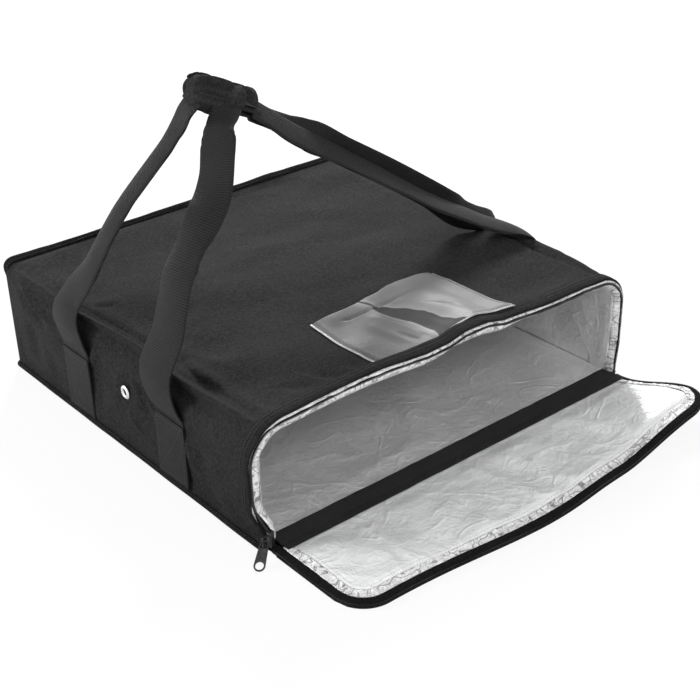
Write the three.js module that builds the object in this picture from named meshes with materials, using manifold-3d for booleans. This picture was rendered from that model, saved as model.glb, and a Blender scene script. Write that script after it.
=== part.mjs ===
// A soft insulated delivery bag for flat boxes. Its mouth flap lies open on the ground, and two webbing
// straps rise to a wrapped hand grip. Every wall is a laminate: outer fabric, foam and foil lining.
// Millimetres and degrees. The origin is the centre of the bag's underside, on the ground.
// +X is the bag's right, -Y is the mouth, +Z is up.

import * as THREE from 'three';
import Module from 'manifold-3d';
import { mergeVertices } from 'three/addons/utils/BufferGeometryUtils.js';

const wasm = await Module();
wasm.setup();

// Overall size
const BAG_WIDTH = 480;
const BAG_DEPTH = 470;
const BAG_HEIGHT = 125;
const MOUTH_CROWN = 14;
const MOUTH_CORNER_RADIUS = 36;
const BACK_CORNER_RADIUS = 12;

// Laminate, from outside to inside
const SHELL_THICKNESS = 1;
const FOAM_THICKNESS = 5;
const LINING_THICKNESS = 0.6;
const LAYER_GAP = 0.3;
const SEAM_GAP = 0.4;

// Zip: two chains that meet at the rim of the mouth
const ZIP_TAPE_WIDTH = 8;
const ZIP_TAPE_THICKNESS = 1.2;
const ZIP_TAPE_BURIED = 4;
const ZIP_TOOTH = 3;
const ZIP_STOP_HEIGHT = 2.2;
const ZIP_CLEARANCE = 0.3;
const ZIP_FOOT_HEIGHT = 7.8;
const SLIDER_WALL = 1.2;
const SLIDER_FACE = 1.5;
const SLIDER_LENGTH = 15;
const SLIDER_HOOK = 0.9;

// Zip pull and the bail that holds it
const BAIL_WIDTH = 1.8;
const BAIL_WALL = 1.3;
const BAIL_HEIGHT = 6.3;
const BAIL_LENGTH = 10.3;
const PULL_LENGTH = 30;
const PULL_TIP_WIDTH = 11;
const PULL_NECK_WIDTH = 8;
const PULL_THICKNESS = 1.4;
const PULL_WINDOW_LENGTH = 6.4;
const PULL_WINDOW_WIDTH = 6.2;
const PULL_HOLE_RADIUS = 4;
const PULL_YAW = 38;

// Flap edge
const FLAP_BINDING_WIDTH = 11;
const FLAP_BINDING_THICKNESS = 2.6;
const FLAP_LINING_LAP = 3;
const HINGE_WEB_THICKNESS = 2.4;
const HINGE_END_INSET = 6;

// Bindings along the seams
const BINDING_WIDTH = 6;
const BINDING_THICKNESS = 3;
const BINDING_STANDOFF = 0.5;
const FOOT_BINDING_WIDTH = 4;
const FOOT_BINDING_THICKNESS = 2.6;
const FOOT_BINDING_LIFT = 0.3;

// Vent eyelets, one in each side
const EYELET_BORE_RADIUS = 3.3;
const EYELET_BARREL_RADIUS = 4.2;
const EYELET_FLANGE_RADIUS = 7.5;
const EYELET_FLANGE_THICKNESS = 1;
const EYELET_CLEARANCE = 0.3;
const EYELET_Y = -5;
const EYELET_Z = 68;

// Clear ticket pocket on the top
const POCKET_WIDTH = 168;
const POCKET_DEPTH = 112;
const POCKET_CENTRE_X = 8;
const POCKET_MOUTH_MARGIN = 16;
const POCKET_THICKNESS = 0.5;
const POCKET_GAP = 0.8;

// Webbing straps
const STRAP_WIDTH = 50;
const STRAP_THICKNESS = 2;
const STRAP_SPREAD = 88;
const STRAP_STANDOFF = 0.3;
const STRAP_SEWN_TOP = 75;
const STRAP_SEWN_BOTTOM = 6;

// Hand grip: the straps run through a padded wrap that closes with hook and loop
const GRIP_X = -99;
const GRIP_Z = 339.5;
const GRIP_TILT = 25;
const GRIP_ROLL = 40;
const WRAP_LENGTH = 88;
const WRAP_THICKNESS = 2;
const WRAP_CLEARANCE = 0.3;
const WRAP_LEAF_REACH = 24;
const RUN_HEIGHT = 25;
const RUN_LIP = 6.5;
const RUN_TURN_IN = 7;
const RUN_OVERHANG = 4;
const RUN_GAP = 0.3;
const LEG_LEAD = 5;
const LEG_NECK_WIDTH = 33;
const LEG_NECK_OFFSET = 8;
const FASTENER_THICKNESS = 0.8;
const FASTENER_HEIGHT = 18;
const FASTENER_END_INSET = 6;

// Facets
const ARC_STEPS = 3;
const CROWN_STEPS = 10;
const DEPTH_STEPS = 4;
const ROUND_STEPS = 24;
const LEG_STEPS = 22;

const halfWidth = BAG_WIDTH / 2;
const mouthY = -BAG_DEPTH / 2;
const backY = BAG_DEPTH / 2;
const panelFrontY = mouthY + ZIP_TAPE_BURIED;
const foamFrontY = mouthY + ZIP_TAPE_WIDTH + LAYER_GAP;

function layer(outer, thickness, frontY) {
  return { outer, inner: outer + thickness, frontY };
}

const shell = layer(0, SHELL_THICKNESS, panelFrontY);
const foam = layer(shell.inner + LAYER_GAP, FOAM_THICKNESS, foamFrontY);
const lining = layer(foam.inner + LAYER_GAP, LINING_THICKNESS, panelFrontY);
const laminate = lining.inner;

const fabricBlack = material('fabric_black', 0x1b1c1e, 0.92, 0);
const webbingBlack = material('webbing_black', 0x202124, 0.85, 0);
const foamGrey = material('foam_grey', 0x9a9da0, 0.95, 0);
const foilSilver = material('foil_silver', 0xc9ccd0, 0.28, 0.9);
const zipBlack = material('zip_black', 0x141415, 0.45, 0);
const metalBlack = material('metal_black', 0x1a1a1c, 0.35, 0.8);
const metalSteel = material('metal_steel', 0xc2c4c6, 0.25, 1);
const vinylClear = material('vinyl_clear', 0x8e9194, 0.15, 0);
const fastenerBlack = material('fastener_black', 0x151516, 0.98, 0);

const bag = new THREE.Group();

function material(name, color, roughness, metalness) {
  const made = new THREE.MeshStandardMaterial({ color, roughness, metalness });
  made.name = name;
  return made;
}

function add(name, geometry, look, matrix) {
  const mesh = new THREE.Mesh(geometry, look);
  mesh.name = name;
  if (matrix) {
    mesh.applyMatrix4(matrix);
  }
  bag.add(mesh);
}

function mix(from, to, share) {
  return from + (to - from) * share;
}

// Closed solids

// A closed mesh from points and triangles, turned so that its faces point out.
function closedGeometry(points, triangles) {
  let volume = 0;
  for (const [a, b, c] of triangles) {
    volume += points[a].dot(new THREE.Vector3().crossVectors(points[b], points[c]));
  }
  const geometry = new THREE.BufferGeometry();
  geometry.setFromPoints(points);
  const order = volume < 0 ? triangles.map(([a, b, c]) => [a, c, b]) : triangles;
  geometry.setIndex(order.flat());
  geometry.computeVertexNormals();
  return geometry;
}

// A wall between two faces. Each row has the points of one station on its outer and inner face.
function wall(rows) {
  const count = rows[0].outer.length;
  const last = rows.length - 1;
  const points = rows.flatMap((row) => [...row.outer, ...row.inner]);
  const outer = (row, i) => row * count * 2 + i;
  const inner = (row, i) => outer(row, i) + count;
  const triangles = [];
  const quad = (a, b, c, d) => triangles.push([a, b, c], [a, c, d]);
  for (let row = 0; row < last; row += 1) {
    for (let i = 0; i < count - 1; i += 1) {
      quad(outer(row, i), outer(row, i + 1), outer(row + 1, i + 1), outer(row + 1, i));
      triangles.push([inner(row, i), inner(row + 1, i + 1), inner(row, i + 1)]);
      triangles.push([inner(row, i), inner(row + 1, i), inner(row + 1, i + 1)]);
    }
    quad(outer(row, 0), outer(row + 1, 0), inner(row + 1, 0), inner(row, 0));
    quad(outer(row, count - 1), inner(row, count - 1), inner(row + 1, count - 1), outer(row + 1, count - 1));
  }
  for (let i = 0; i < count - 1; i += 1) {
    quad(outer(0, i), inner(0, i), inner(0, i + 1), outer(0, i + 1));
    quad(outer(last, i), outer(last, i + 1), inner(last, i + 1), inner(last, i));
  }
  return closedGeometry(points, triangles);
}

// A solid through rings of points, closed by a flat fan at each end.
function loft(rings) {
  const count = rings[0].length;
  const points = rings.flat();
  const triangles = [];
  for (let ring = 0; ring < rings.length - 1; ring += 1) {
    for (let i = 0; i < count; i += 1) {
      const next = (i + 1) % count;
      const a = ring * count + i;
      const b = ring * count + next;
      triangles.push([a, b, b + count], [a, b + count, a + count]);
    }
  }
  const end = (rings.length - 1) * count;
  for (let i = 1; i < count - 1; i += 1) {
    triangles.push([0, i + 1, i], [end, end + i, end + i + 1]);
  }
  return closedGeometry(points, triangles);
}

function outline(points) {
  return new THREE.Shape(points.map(([x, y]) => new THREE.Vector2(x, y)));
}

// A flat outline in X and Y, extruded up from a height.
function slab(points, bottom, thickness) {
  const geometry = new THREE.ExtrudeGeometry(outline(points), { depth: thickness, bevelEnabled: false });
  geometry.translate(0, 0, bottom);
  return geometry;
}

// A flat outline in X and Z, extruded towards the mouth from a depth.
function upright(points, back, thickness) {
  const geometry = new THREE.ExtrudeGeometry(outline(points), { depth: thickness, bevelEnabled: false });
  geometry.rotateX(Math.PI / 2);
  geometry.translate(0, back, 0);
  return geometry;
}

// A box between two corners.
function block(low, high) {
  const size = high.map((value, i) => value - low[i]);
  const geometry = new THREE.BoxGeometry(...size);
  geometry.translate(...low.map((value, i) => value + size[i] / 2));
  return geometry;
}

function toSolid(geometry) {
  const bare = geometry.clone();
  bare.deleteAttribute('normal');
  bare.deleteAttribute('uv');
  const merged = mergeVertices(bare);
  const vertProperties = new Float32Array(merged.attributes.position.array);
  const triVerts = new Uint32Array(merged.index.array);
  return new wasm.Manifold(new wasm.Mesh({ numProp: 3, vertProperties, triVerts }));
}

function cut(geometry, tool) {
  const mesh = toSolid(geometry).subtract(toSolid(tool)).getMesh();
  const result = new THREE.BufferGeometry();
  result.setAttribute('position', new THREE.BufferAttribute(new Float32Array(mesh.vertProperties), 3));
  result.setIndex(new THREE.BufferAttribute(new Uint32Array(mesh.triVerts), 1));
  result.computeVertexNormals();
  return result;
}

// Cross-section of the bag. It is square-shouldered at the back, and rounder and crowned at the mouth.

function station(y) {
  const share = (y - mouthY) / BAG_DEPTH;
  const radius = mix(MOUTH_CORNER_RADIUS, BACK_CORNER_RADIUS, share);
  return { y, radius, crown: MOUTH_CROWN * (1 - share), trim: SEAM_GAP / 2 / radius };
}

// A point of the rounded shoulder, by its angle up from the side wall. The side is -1 for left, 1 for right.
function shoulderPoint(section, depth, side, angle) {
  const reach = section.radius - depth;
  const x = halfWidth - section.radius + reach * Math.cos(angle);
  return [side * x, BAG_HEIGHT - section.radius + reach * Math.sin(angle)];
}

function shoulder(section, depth, side, from, to) {
  const points = [];
  for (let step = 0; step <= ARC_STEPS; step += 1) {
    points.push(shoulderPoint(section, depth, side, mix(from, to, step / ARC_STEPS)));
  }
  return points;
}

function crownPoints(section, depth) {
  const span = halfWidth - section.radius;
  const points = [];
  for (let step = 1; step < CROWN_STEPS; step += 1) {
    const share = mix(-1, 1, step / CROWN_STEPS);
    const rise = section.crown * Math.cos(share * Math.PI / 2) ** 2;
    points.push([share * span, BAG_HEIGHT - depth + rise]);
  }
  return points;
}

function sidePath(section, depth, side, foot) {
  const wallPoints = shoulder(section, depth, side, 0, Math.PI / 4 - section.trim);
  return [[side * (halfWidth - depth), foot], ...wallPoints];
}

function topPath(section, depth) {
  const seam = Math.PI / 4 + section.trim;
  const left = shoulder(section, depth, -1, seam, Math.PI / 2);
  const right = shoulder(section, depth, 1, Math.PI / 2, seam);
  return [...left, ...crownPoints(section, depth), ...right];
}

// The whole arch from the left foot over the top to the right foot.
function archPath(section, depth, foot) {
  const left = [
    [-(halfWidth - depth), foot],
    ...shoulder(section, depth, -1, 0, Math.PI / 4),
    ...shoulder(section, depth, -1, Math.PI / 4, Math.PI / 2).slice(1),
  ];
  const right = left.map(([x, z]) => [-x, z]).reverse();
  return [...left, ...crownPoints(section, depth), ...right];
}

function atStation(section, points) {
  return points.map(([x, z]) => new THREE.Vector3(x, section.y, z));
}

// A wall that follows a path through the bag's depth, between two depths under the outer face.
function followedWall(path, outerDepth, innerDepth, frontY, endY) {
  const rows = [];
  for (let step = 0; step <= DEPTH_STEPS; step += 1) {
    const section = station(mix(frontY, endY, step / DEPTH_STEPS));
    rows.push({
      outer: atStation(section, path(section, outerDepth)),
      inner: atStation(section, path(section, innerDepth)),
    });
  }
  return wall(rows);
}

// Walls. One piece of outer fabric wraps over the left side, the top and the right side. The foam and the
// foil lining are cut panel by panel.

function withEyeletHole(panel, side) {
  const radius = EYELET_BARREL_RADIUS + EYELET_CLEARANCE;
  const tool = new THREE.CylinderGeometry(radius, radius, laminate * 3, ROUND_STEPS);
  tool.rotateZ(Math.PI / 2);
  tool.translate(side * halfWidth, EYELET_Y, EYELET_Z);
  return cut(panel, tool);
}

function panelEnd(sheet) {
  return backY - sheet.inner - LAYER_GAP;
}

function panelFoot(sheet) {
  return sheet.inner + LAYER_GAP;
}

function addFloorAndBack(kind, sheet, look) {
  const edge = halfWidth - sheet.outer;
  const low = [-edge, sheet.frontY, sheet.outer];
  add(`bottom_${kind}`, block(low, [edge, panelEnd(sheet), sheet.inner]), look);
  const backOutline = archPath(station(backY), sheet.outer, sheet.outer);
  add(`back_${kind}`, upright(backOutline, backY - sheet.outer, sheet.inner - sheet.outer), look);
}

function addTopAndSides(kind, sheet, look) {
  add(`top_${kind}`, followedWall(topPath, sheet.outer, sheet.inner, sheet.frontY, panelEnd(sheet)), look);
  for (const [side, name] of [[-1, 'left'], [1, 'right']]) {
    const path = (section, depth) => sidePath(section, depth, side, panelFoot(sheet));
    const panel = followedWall(path, sheet.outer, sheet.inner, sheet.frontY, panelEnd(sheet));
    add(`${name}_${kind}`, withEyeletHole(panel, side), look);
  }
}

function addWrap() {
  const path = (section, depth) => archPath(section, depth, panelFoot(shell));
  const arch = followedWall(path, shell.outer, shell.inner, shell.frontY, panelEnd(shell));
  add('wrap_shell', withEyeletHole(withEyeletHole(arch, -1), 1), fabricBlack);
}

// Bindings

// The bound seam allowance that stands out of the seam between the back and the wrap, over the top.
function backBinding() {
  const back = station(backY);
  const reach = BINDING_STANDOFF + BINDING_WIDTH;
  const half = BINDING_THICKNESS / 2;
  const corners = [[BINDING_STANDOFF, half], [reach, half], [reach, -half], [BINDING_STANDOFF, -half]];
  const diagonal = Math.SQRT1_2;
  const ring = (side, angle) => {
    const [x, z] = shoulderPoint(back, 0, side, angle);
    const tilt = [side * Math.cos(angle), Math.sin(angle)];
    return corners.map(([out, across]) => new THREE.Vector3(
      x + tilt[0] * (out + across) * diagonal,
      back.y + (out - across) * diagonal,
      z + tilt[1] * (out + across) * diagonal,
    ));
  };
  const angles = [];
  for (let step = 0; step <= 2 * ARC_STEPS; step += 1) {
    angles.push(mix(0, Math.PI / 2, step / (2 * ARC_STEPS)));
  }
  const left = angles.map((angle) => ring(-1, angle));
  const right = angles.map((angle) => ring(1, angle)).reverse();
  return loft([...left, ...right]);
}

// A flat binding round the foot of the left, back and right walls.
function footBinding() {
  const inside = halfWidth + BINDING_STANDOFF;
  const outside = inside + FOOT_BINDING_WIDTH;
  const insideBack = backY + BINDING_STANDOFF;
  const outsideBack = insideBack + FOOT_BINDING_WIDTH;
  const points = [
    [-inside, panelFrontY], [-inside, insideBack], [inside, insideBack], [inside, panelFrontY],
    [outside, panelFrontY], [outside, outsideBack], [-outside, outsideBack], [-outside, panelFrontY],
  ];
  return slab(points, FOOT_BINDING_LIFT, FOOT_BINDING_THICKNESS);
}

// Zip on the mouth

const toothDepth = lining.outer / 2 - ZIP_TOOTH / 2;
const tapeDepth = lining.outer / 2 - ZIP_TAPE_THICKNESS / 2;
const toothBackY = mouthY - ZIP_CLEARANCE;
const toothFrontY = toothBackY - ZIP_TOOTH;

function addMouthZip() {
  const tapePath = (section, depth) => archPath(section, depth, ZIP_FOOT_HEIGHT);
  const tapeInner = tapeDepth + ZIP_TAPE_THICKNESS;
  const tape = followedWall(tapePath, tapeDepth, tapeInner, mouthY, mouthY + ZIP_TAPE_WIDTH);
  add('mouth_zip_tape', tape, zipBlack);
  const toothInner = toothDepth + ZIP_TOOTH;
  add('mouth_zip_teeth', followedWall(tapePath, toothDepth, toothInner, toothFrontY, toothBackY), zipBlack);
  for (const [side, name] of [[-1, 'left'], [1, 'right']]) {
    const outerX = side * (halfWidth - toothDepth);
    const innerX = side * (halfWidth - toothInner);
    const top = ZIP_FOOT_HEIGHT - ZIP_CLEARANCE;
    const low = [Math.min(outerX, innerX), toothFrontY, top - ZIP_STOP_HEIGHT];
    const high = [Math.max(outerX, innerX), toothBackY, top];
    add(`zip_stop_${name}`, block(low, high), metalBlack);
  }
}

// Slider, bail and pull. The slider grips the mouth's chain and backs the flap's chain.

const webFrontY = toothFrontY - ZIP_CLEARANCE - SLIDER_WALL;
const webBackY = webFrontY + SLIDER_WALL;
const flapChainBackY = webFrontY - ZIP_CLEARANCE;
const sliderFrontY = flapChainBackY - ZIP_TOOTH;
const sliderFoot = ZIP_FOOT_HEIGHT + ZIP_CLEARANCE;
const sliderFaceDepth = toothDepth - ZIP_CLEARANCE - SLIDER_FACE;
const bailMiddleZ = sliderFoot + SLIDER_LENGTH / 2;
const sliderBackY = mouthY + SLIDER_WALL;
const bailMiddleY = (sliderFrontY + sliderBackY) / 2;
const bailFootX = -halfWidth + sliderFaceDepth - ZIP_CLEARANCE;
const pullClearance = PULL_THICKNESS / 2 + BAIL_WIDTH / 2 + ZIP_CLEARANCE;
const pullAxisX = bailFootX - BAIL_HEIGHT + BAIL_WALL + pullClearance;

function sliderBody() {
  const face = sliderFaceDepth + SLIDER_FACE;
  const inside = toothDepth + ZIP_TOOTH + ZIP_CLEARANCE;
  const inner = inside + SLIDER_WALL;
  const hook = face + SLIDER_HOOK;
  const lipBackY = toothBackY - ZIP_CLEARANCE;
  const points = [
    [sliderFaceDepth, sliderFrontY], [face, sliderFrontY], [face, webFrontY], [inner, webFrontY],
    [inner, lipBackY], [inside, lipBackY], [inside, webBackY], [face, webBackY],
    [face, mouthY], [hook, mouthY], [hook, sliderBackY], [sliderFaceDepth, sliderBackY],
  ];
  return slab(points.map(([depth, y]) => [depth - halfWidth, y]), sliderFoot, SLIDER_LENGTH);
}

function sliderBail() {
  const half = BAIL_LENGTH / 2;
  const innerHalf = half - BAIL_WALL;
  const outerX = bailFootX - BAIL_HEIGHT;
  const innerX = outerX + BAIL_WALL;
  const points = [
    [bailFootX, -half], [outerX, -half], [outerX, half], [bailFootX, half],
    [bailFootX, innerHalf], [innerX, innerHalf], [innerX, -innerHalf], [bailFootX, -innerHalf],
  ];
  const raised = points.map(([x, z]) => [x, z + bailMiddleZ]);
  return upright(raised, bailMiddleY + BAIL_WIDTH / 2, BAIL_WIDTH);
}

function pullOutline() {
  const neck = PULL_NECK_WIDTH / 2;
  const tip = PULL_TIP_WIDTH / 2;
  const bar = PULL_THICKNESS / 2;
  const shape = new THREE.Shape();
  shape.moveTo(-bar, -neck);
  shape.lineTo(PULL_LENGTH - tip, -tip);
  shape.absarc(PULL_LENGTH - tip, 0, tip, -Math.PI / 2, Math.PI / 2, false);
  shape.lineTo(-bar, neck);
  const window = new THREE.Path();
  const half = PULL_WINDOW_WIDTH / 2;
  window.moveTo(bar, -half);
  window.lineTo(bar, half);
  window.lineTo(bar + PULL_WINDOW_LENGTH, half);
  window.lineTo(bar + PULL_WINDOW_LENGTH, -half);
  const hole = new THREE.Path();
  hole.absarc(PULL_LENGTH - tip, 0, PULL_HOLE_RADIUS, 0, 2 * Math.PI, true);
  shape.holes.push(window, hole);
  return shape;
}

// The pull lies out from the slider with its tip on the ground.
function addPull() {
  const settings = { depth: PULL_THICKNESS, bevelEnabled: false, curveSegments: ROUND_STEPS / 3 };
  const geometry = new THREE.ExtrudeGeometry(pullOutline(), settings);
  geometry.translate(0, 0, -PULL_THICKNESS / 2);
  const yaw = THREE.MathUtils.degToRad(PULL_YAW);
  const droop = Math.asin((bailMiddleZ - PULL_THICKNESS) / PULL_LENGTH);
  const along = new THREE.Vector3(-Math.cos(yaw), -Math.sin(yaw), 0);
  along.multiplyScalar(Math.cos(droop));
  along.z = -Math.sin(droop);
  const across = new THREE.Vector3(Math.sin(yaw), -Math.cos(yaw), 0);
  const normal = new THREE.Vector3().crossVectors(along, across);
  const place = new THREE.Matrix4().makeBasis(along, across, normal);
  place.setPosition(pullAxisX, bailMiddleY, bailMiddleZ);
  add('zip_pull', geometry, metalBlack, place);
}

// Mouth flap, lying open on the ground with its foil side up

const hingeZ = laminate / 2;
const hingeY = flapChainBackY - laminate / 2;
const beadRadius = hingeZ - FOOT_BINDING_LIFT;
const flapFoot = laminate;

// The closed flap's outline in X and Z, laid down in X and Y.
function laidDown(points) {
  return points.map(([x, z]) => [x, hingeY + hingeZ - z]);
}

function flapSheet(depth, bottom, thickness) {
  return slab(laidDown(archPath(station(mouthY), depth, flapFoot)), bottom, thickness);
}

function flapBand(outerDepth, innerDepth, bottom, thickness) {
  const section = station(mouthY);
  const outer = archPath(section, outerDepth, ZIP_FOOT_HEIGHT);
  const inner = archPath(section, innerDepth, ZIP_FOOT_HEIGHT).reverse();
  return slab(laidDown([...outer, ...inner]), bottom, thickness);
}

// The hinge tape is sewn between the floor's fabric and lining, and ends in a bead that the flap turns on.
function hingeTape() {
  const half = HINGE_WEB_THICKNESS / 2;
  const back = foamFrontY - LAYER_GAP;
  const start = Math.asin(half / beadRadius);
  const points = [[back, hingeZ - half], [back, hingeZ + half]];
  for (let step = 0; step <= ROUND_STEPS / 2; step += 1) {
    const angle = mix(start, 2 * Math.PI - start, step / (ROUND_STEPS / 2));
    points.push([hingeY + beadRadius * Math.cos(angle), hingeZ + beadRadius * Math.sin(angle)]);
  }
  const length = BAG_WIDTH - 2 * HINGE_END_INSET;
  const geometry = new THREE.ExtrudeGeometry(outline(points), { depth: length, bevelEnabled: false });
  const basis = new THREE.Matrix4().makeBasis(
    new THREE.Vector3(0, 1, 0),
    new THREE.Vector3(0, 0, 1),
    new THREE.Vector3(1, 0, 0),
  );
  geometry.applyMatrix4(basis);
  geometry.translate(-length / 2, 0, 0);
  return geometry;
}

function addFlap() {
  const chainBottom = laminate - ZIP_TOOTH;
  const bandInner = toothDepth + FLAP_BINDING_WIDTH;
  const tapeOuter = toothDepth + ZIP_TOOTH + ZIP_CLEARANCE;
  const bandTop = chainBottom - LAYER_GAP;
  const foamDepth = bandInner + LAYER_GAP;
  const liningDepth = bandInner - FLAP_LINING_LAP;
  add('flap_shell', flapSheet(toothDepth, 0, SHELL_THICKNESS), fabricBlack);
  add('flap_foam', flapSheet(foamDepth, foam.outer, FOAM_THICKNESS), foamGrey);
  add('flap_lining', flapSheet(liningDepth, lining.outer, LINING_THICKNESS), foilSilver);
  const bindingBottom = bandTop - FLAP_BINDING_THICKNESS;
  const binding = flapBand(toothDepth, bandInner, bindingBottom, FLAP_BINDING_THICKNESS);
  add('flap_edge_binding', binding, webbingBlack);
  add('flap_zip_tape', flapBand(tapeOuter, bandInner, chainBottom, ZIP_TAPE_THICKNESS), zipBlack);
  add('flap_zip_teeth', flapBand(toothDepth, toothDepth + ZIP_TOOTH, chainBottom, ZIP_TOOTH), zipBlack);
  add('flap_hinge_tape', hingeTape(), webbingBlack);
}

// Vent eyelets: a flanged barrel from outside and a washer inside

function addEyelets() {
  const bore = EYELET_BORE_RADIUS;
  const barrel = EYELET_BARREL_RADIUS;
  const outsideFace = EYELET_CLEARANCE;
  const flangeTop = outsideFace + EYELET_FLANGE_THICKNESS;
  const barrelEnd = -(laminate + EYELET_CLEARANCE + EYELET_FLANGE_THICKNESS);
  const eyelet = [
    [bore, barrelEnd], [barrel, barrelEnd], [barrel, outsideFace], [EYELET_FLANGE_RADIUS, outsideFace],
    [EYELET_FLANGE_RADIUS, flangeTop], [bore, flangeTop], [bore, barrelEnd],
  ];
  const washerBore = barrel + EYELET_CLEARANCE;
  const washerFace = -(laminate + EYELET_CLEARANCE);
  const washer = [
    [washerBore, barrelEnd], [EYELET_FLANGE_RADIUS, barrelEnd], [EYELET_FLANGE_RADIUS, washerFace],
    [washerBore, washerFace], [washerBore, barrelEnd],
  ];
  for (const [side, name] of [[-1, 'left'], [1, 'right']]) {
    const place = new THREE.Matrix4().makeRotationZ(-side * Math.PI / 2);
    place.setPosition(side * halfWidth, EYELET_Y, EYELET_Z);
    for (const [piece, profile] of [['eyelet', eyelet], ['eyelet_washer', washer]]) {
      const points = profile.map(([x, y]) => new THREE.Vector2(x, y));
      add(`${name}_${piece}`, new THREE.LatheGeometry(points, ROUND_STEPS), metalSteel, place);
    }
  }
}

// Clear ticket pocket: one vinyl sheet that follows the crowned top, open along its back edge

function ticketPocket() {
  const frontY = panelFrontY + POCKET_MOUTH_MARGIN;
  const rows = [];
  for (let step = 0; step <= DEPTH_STEPS; step += 1) {
    const section = station(mix(frontY, frontY + POCKET_DEPTH, step / DEPTH_STEPS));
    const span = halfWidth - section.radius;
    const point = (across, lift) => {
      const x = POCKET_CENTRE_X + (across - 1 / 2) * POCKET_WIDTH;
      const rise = section.crown * Math.cos(x / span * Math.PI / 2) ** 2;
      return new THREE.Vector3(x, section.y, BAG_HEIGHT + rise + lift);
    };
    const acrossShares = Array.from({ length: CROWN_STEPS + 1 }, (_, i) => i / CROWN_STEPS);
    rows.push({
      outer: acrossShares.map((across) => point(across, POCKET_GAP + POCKET_THICKNESS)),
      inner: acrossShares.map((across) => point(across, POCKET_GAP)),
    });
  }
  return wall(rows);
}

// Straps and grip

// The grip runs down towards the right. Its section leans, so its closing leaf faces up and forward.
const gripTilt = THREE.MathUtils.degToRad(GRIP_TILT);
const gripRoll = THREE.MathUtils.degToRad(GRIP_ROLL);
const gripAlong = new THREE.Vector3(Math.cos(gripTilt), 0, -Math.sin(gripTilt));
const gripUpright = new THREE.Vector3(Math.sin(gripTilt), 0, Math.cos(gripTilt));
const gripUp = gripUpright.clone().multiplyScalar(Math.sin(gripRoll));
gripUp.y = Math.cos(gripRoll);
const gripAcross = gripUpright.clone().multiplyScalar(-Math.cos(gripRoll));
gripAcross.y = Math.sin(gripRoll);
const gripFrame = new THREE.Matrix4().makeBasis(gripAcross, gripUp, gripAlong);
gripFrame.setPosition(GRIP_X, 0, GRIP_Z);

// A point given across (front to back), up and along the grip.
function gripPoint(across, up, along) {
  return new THREE.Vector3(across, up, along).applyMatrix4(gripFrame);
}

function gripExtrusion(points, length) {
  const geometry = new THREE.ExtrudeGeometry(outline(points), { depth: length, bevelEnabled: false });
  geometry.translate(0, 0, -length / 2);
  return geometry;
}

const runOuter = RUN_GAP / 2 + RUN_LIP;
const runLength = WRAP_LENGTH + 2 * RUN_OVERHANG;
const wrapInnerHalfHeight = RUN_HEIGHT / 2 + WRAP_CLEARANCE;
const wrapInnerHalfDepth = runOuter + WRAP_CLEARANCE;
const wrapHalfHeight = wrapInnerHalfHeight + WRAP_THICKNESS;
const wrapHalfDepth = wrapInnerHalfDepth + WRAP_THICKNESS;
const loopInner = wrapHalfDepth + WRAP_CLEARANCE;
const hookInner = loopInner + FASTENER_THICKNESS + WRAP_CLEARANCE;
const leafInner = hookInner + FASTENER_THICKNESS + WRAP_CLEARANCE;
const leafOuter = leafInner + WRAP_THICKNESS;

// Inside the grip each strap is folded lengthways into a channel with its edges turned in.
function gripRun(side) {
  const half = RUN_HEIGHT / 2;
  const innerHalf = half - STRAP_THICKNESS;
  const turned = half - RUN_TURN_IN;
  const open = RUN_GAP / 2;
  const hollow = open + STRAP_THICKNESS;
  const web = runOuter - STRAP_THICKNESS;
  const points = [
    [open, -half], [runOuter, -half], [runOuter, half], [open, half],
    [open, turned], [hollow, turned], [hollow, innerHalf], [web, innerHalf],
    [web, -innerHalf], [hollow, -innerHalf], [hollow, -turned], [open, -turned],
  ];
  return gripExtrusion(points.map(([across, up]) => [side * across, up]), runLength);
}

// The wrap goes round both straps and reaches forward over its closing leaf at the top.
function wrapPanel() {
  const slitBottom = wrapInnerHalfHeight - WRAP_THICKNESS;
  const points = [
    [-wrapHalfDepth, -wrapHalfHeight], [wrapHalfDepth, -wrapHalfHeight], [wrapHalfDepth, wrapHalfHeight],
    [-leafOuter, wrapHalfHeight], [-leafOuter, wrapInnerHalfHeight],
    [wrapInnerHalfDepth, wrapInnerHalfHeight],
    [wrapInnerHalfDepth, -wrapInnerHalfHeight], [-wrapInnerHalfDepth, -wrapInnerHalfHeight],
    [-wrapInnerHalfDepth, slitBottom], [-wrapHalfDepth, slitBottom],
  ];
  return gripExtrusion(points, WRAP_LENGTH);
}

function gripSlab(innerReach, outerReach, bottom, top, length) {
  const points = [[-outerReach, bottom], [-innerReach, bottom], [-innerReach, top], [-outerReach, top]];
  return gripExtrusion(points, length);
}

function addGrip() {
  add('front_strap_grip_run', gripRun(-1), webbingBlack, gripFrame);
  add('rear_strap_grip_run', gripRun(1), webbingBlack, gripFrame);
  add('grip_wrap_panel', wrapPanel(), fabricBlack, gripFrame);
  const leafTop = wrapInnerHalfHeight - WRAP_CLEARANCE;
  const leaf = gripSlab(leafInner, leafOuter, leafTop - WRAP_LEAF_REACH, leafTop, WRAP_LENGTH);
  add('grip_wrap_leaf', leaf, fabricBlack, gripFrame);
  const half = FASTENER_HEIGHT / 2;
  const length = WRAP_LENGTH - 2 * FASTENER_END_INSET;
  const loop = gripSlab(loopInner, loopInner + FASTENER_THICKNESS, -half, half, length);
  add('grip_loop_patch', loop, fastenerBlack, gripFrame);
  const hook = gripSlab(hookInner, hookInner + FASTENER_THICKNESS, -half, half, length);
  add('grip_hook_patch', hook, fastenerBlack, gripFrame);
}

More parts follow.
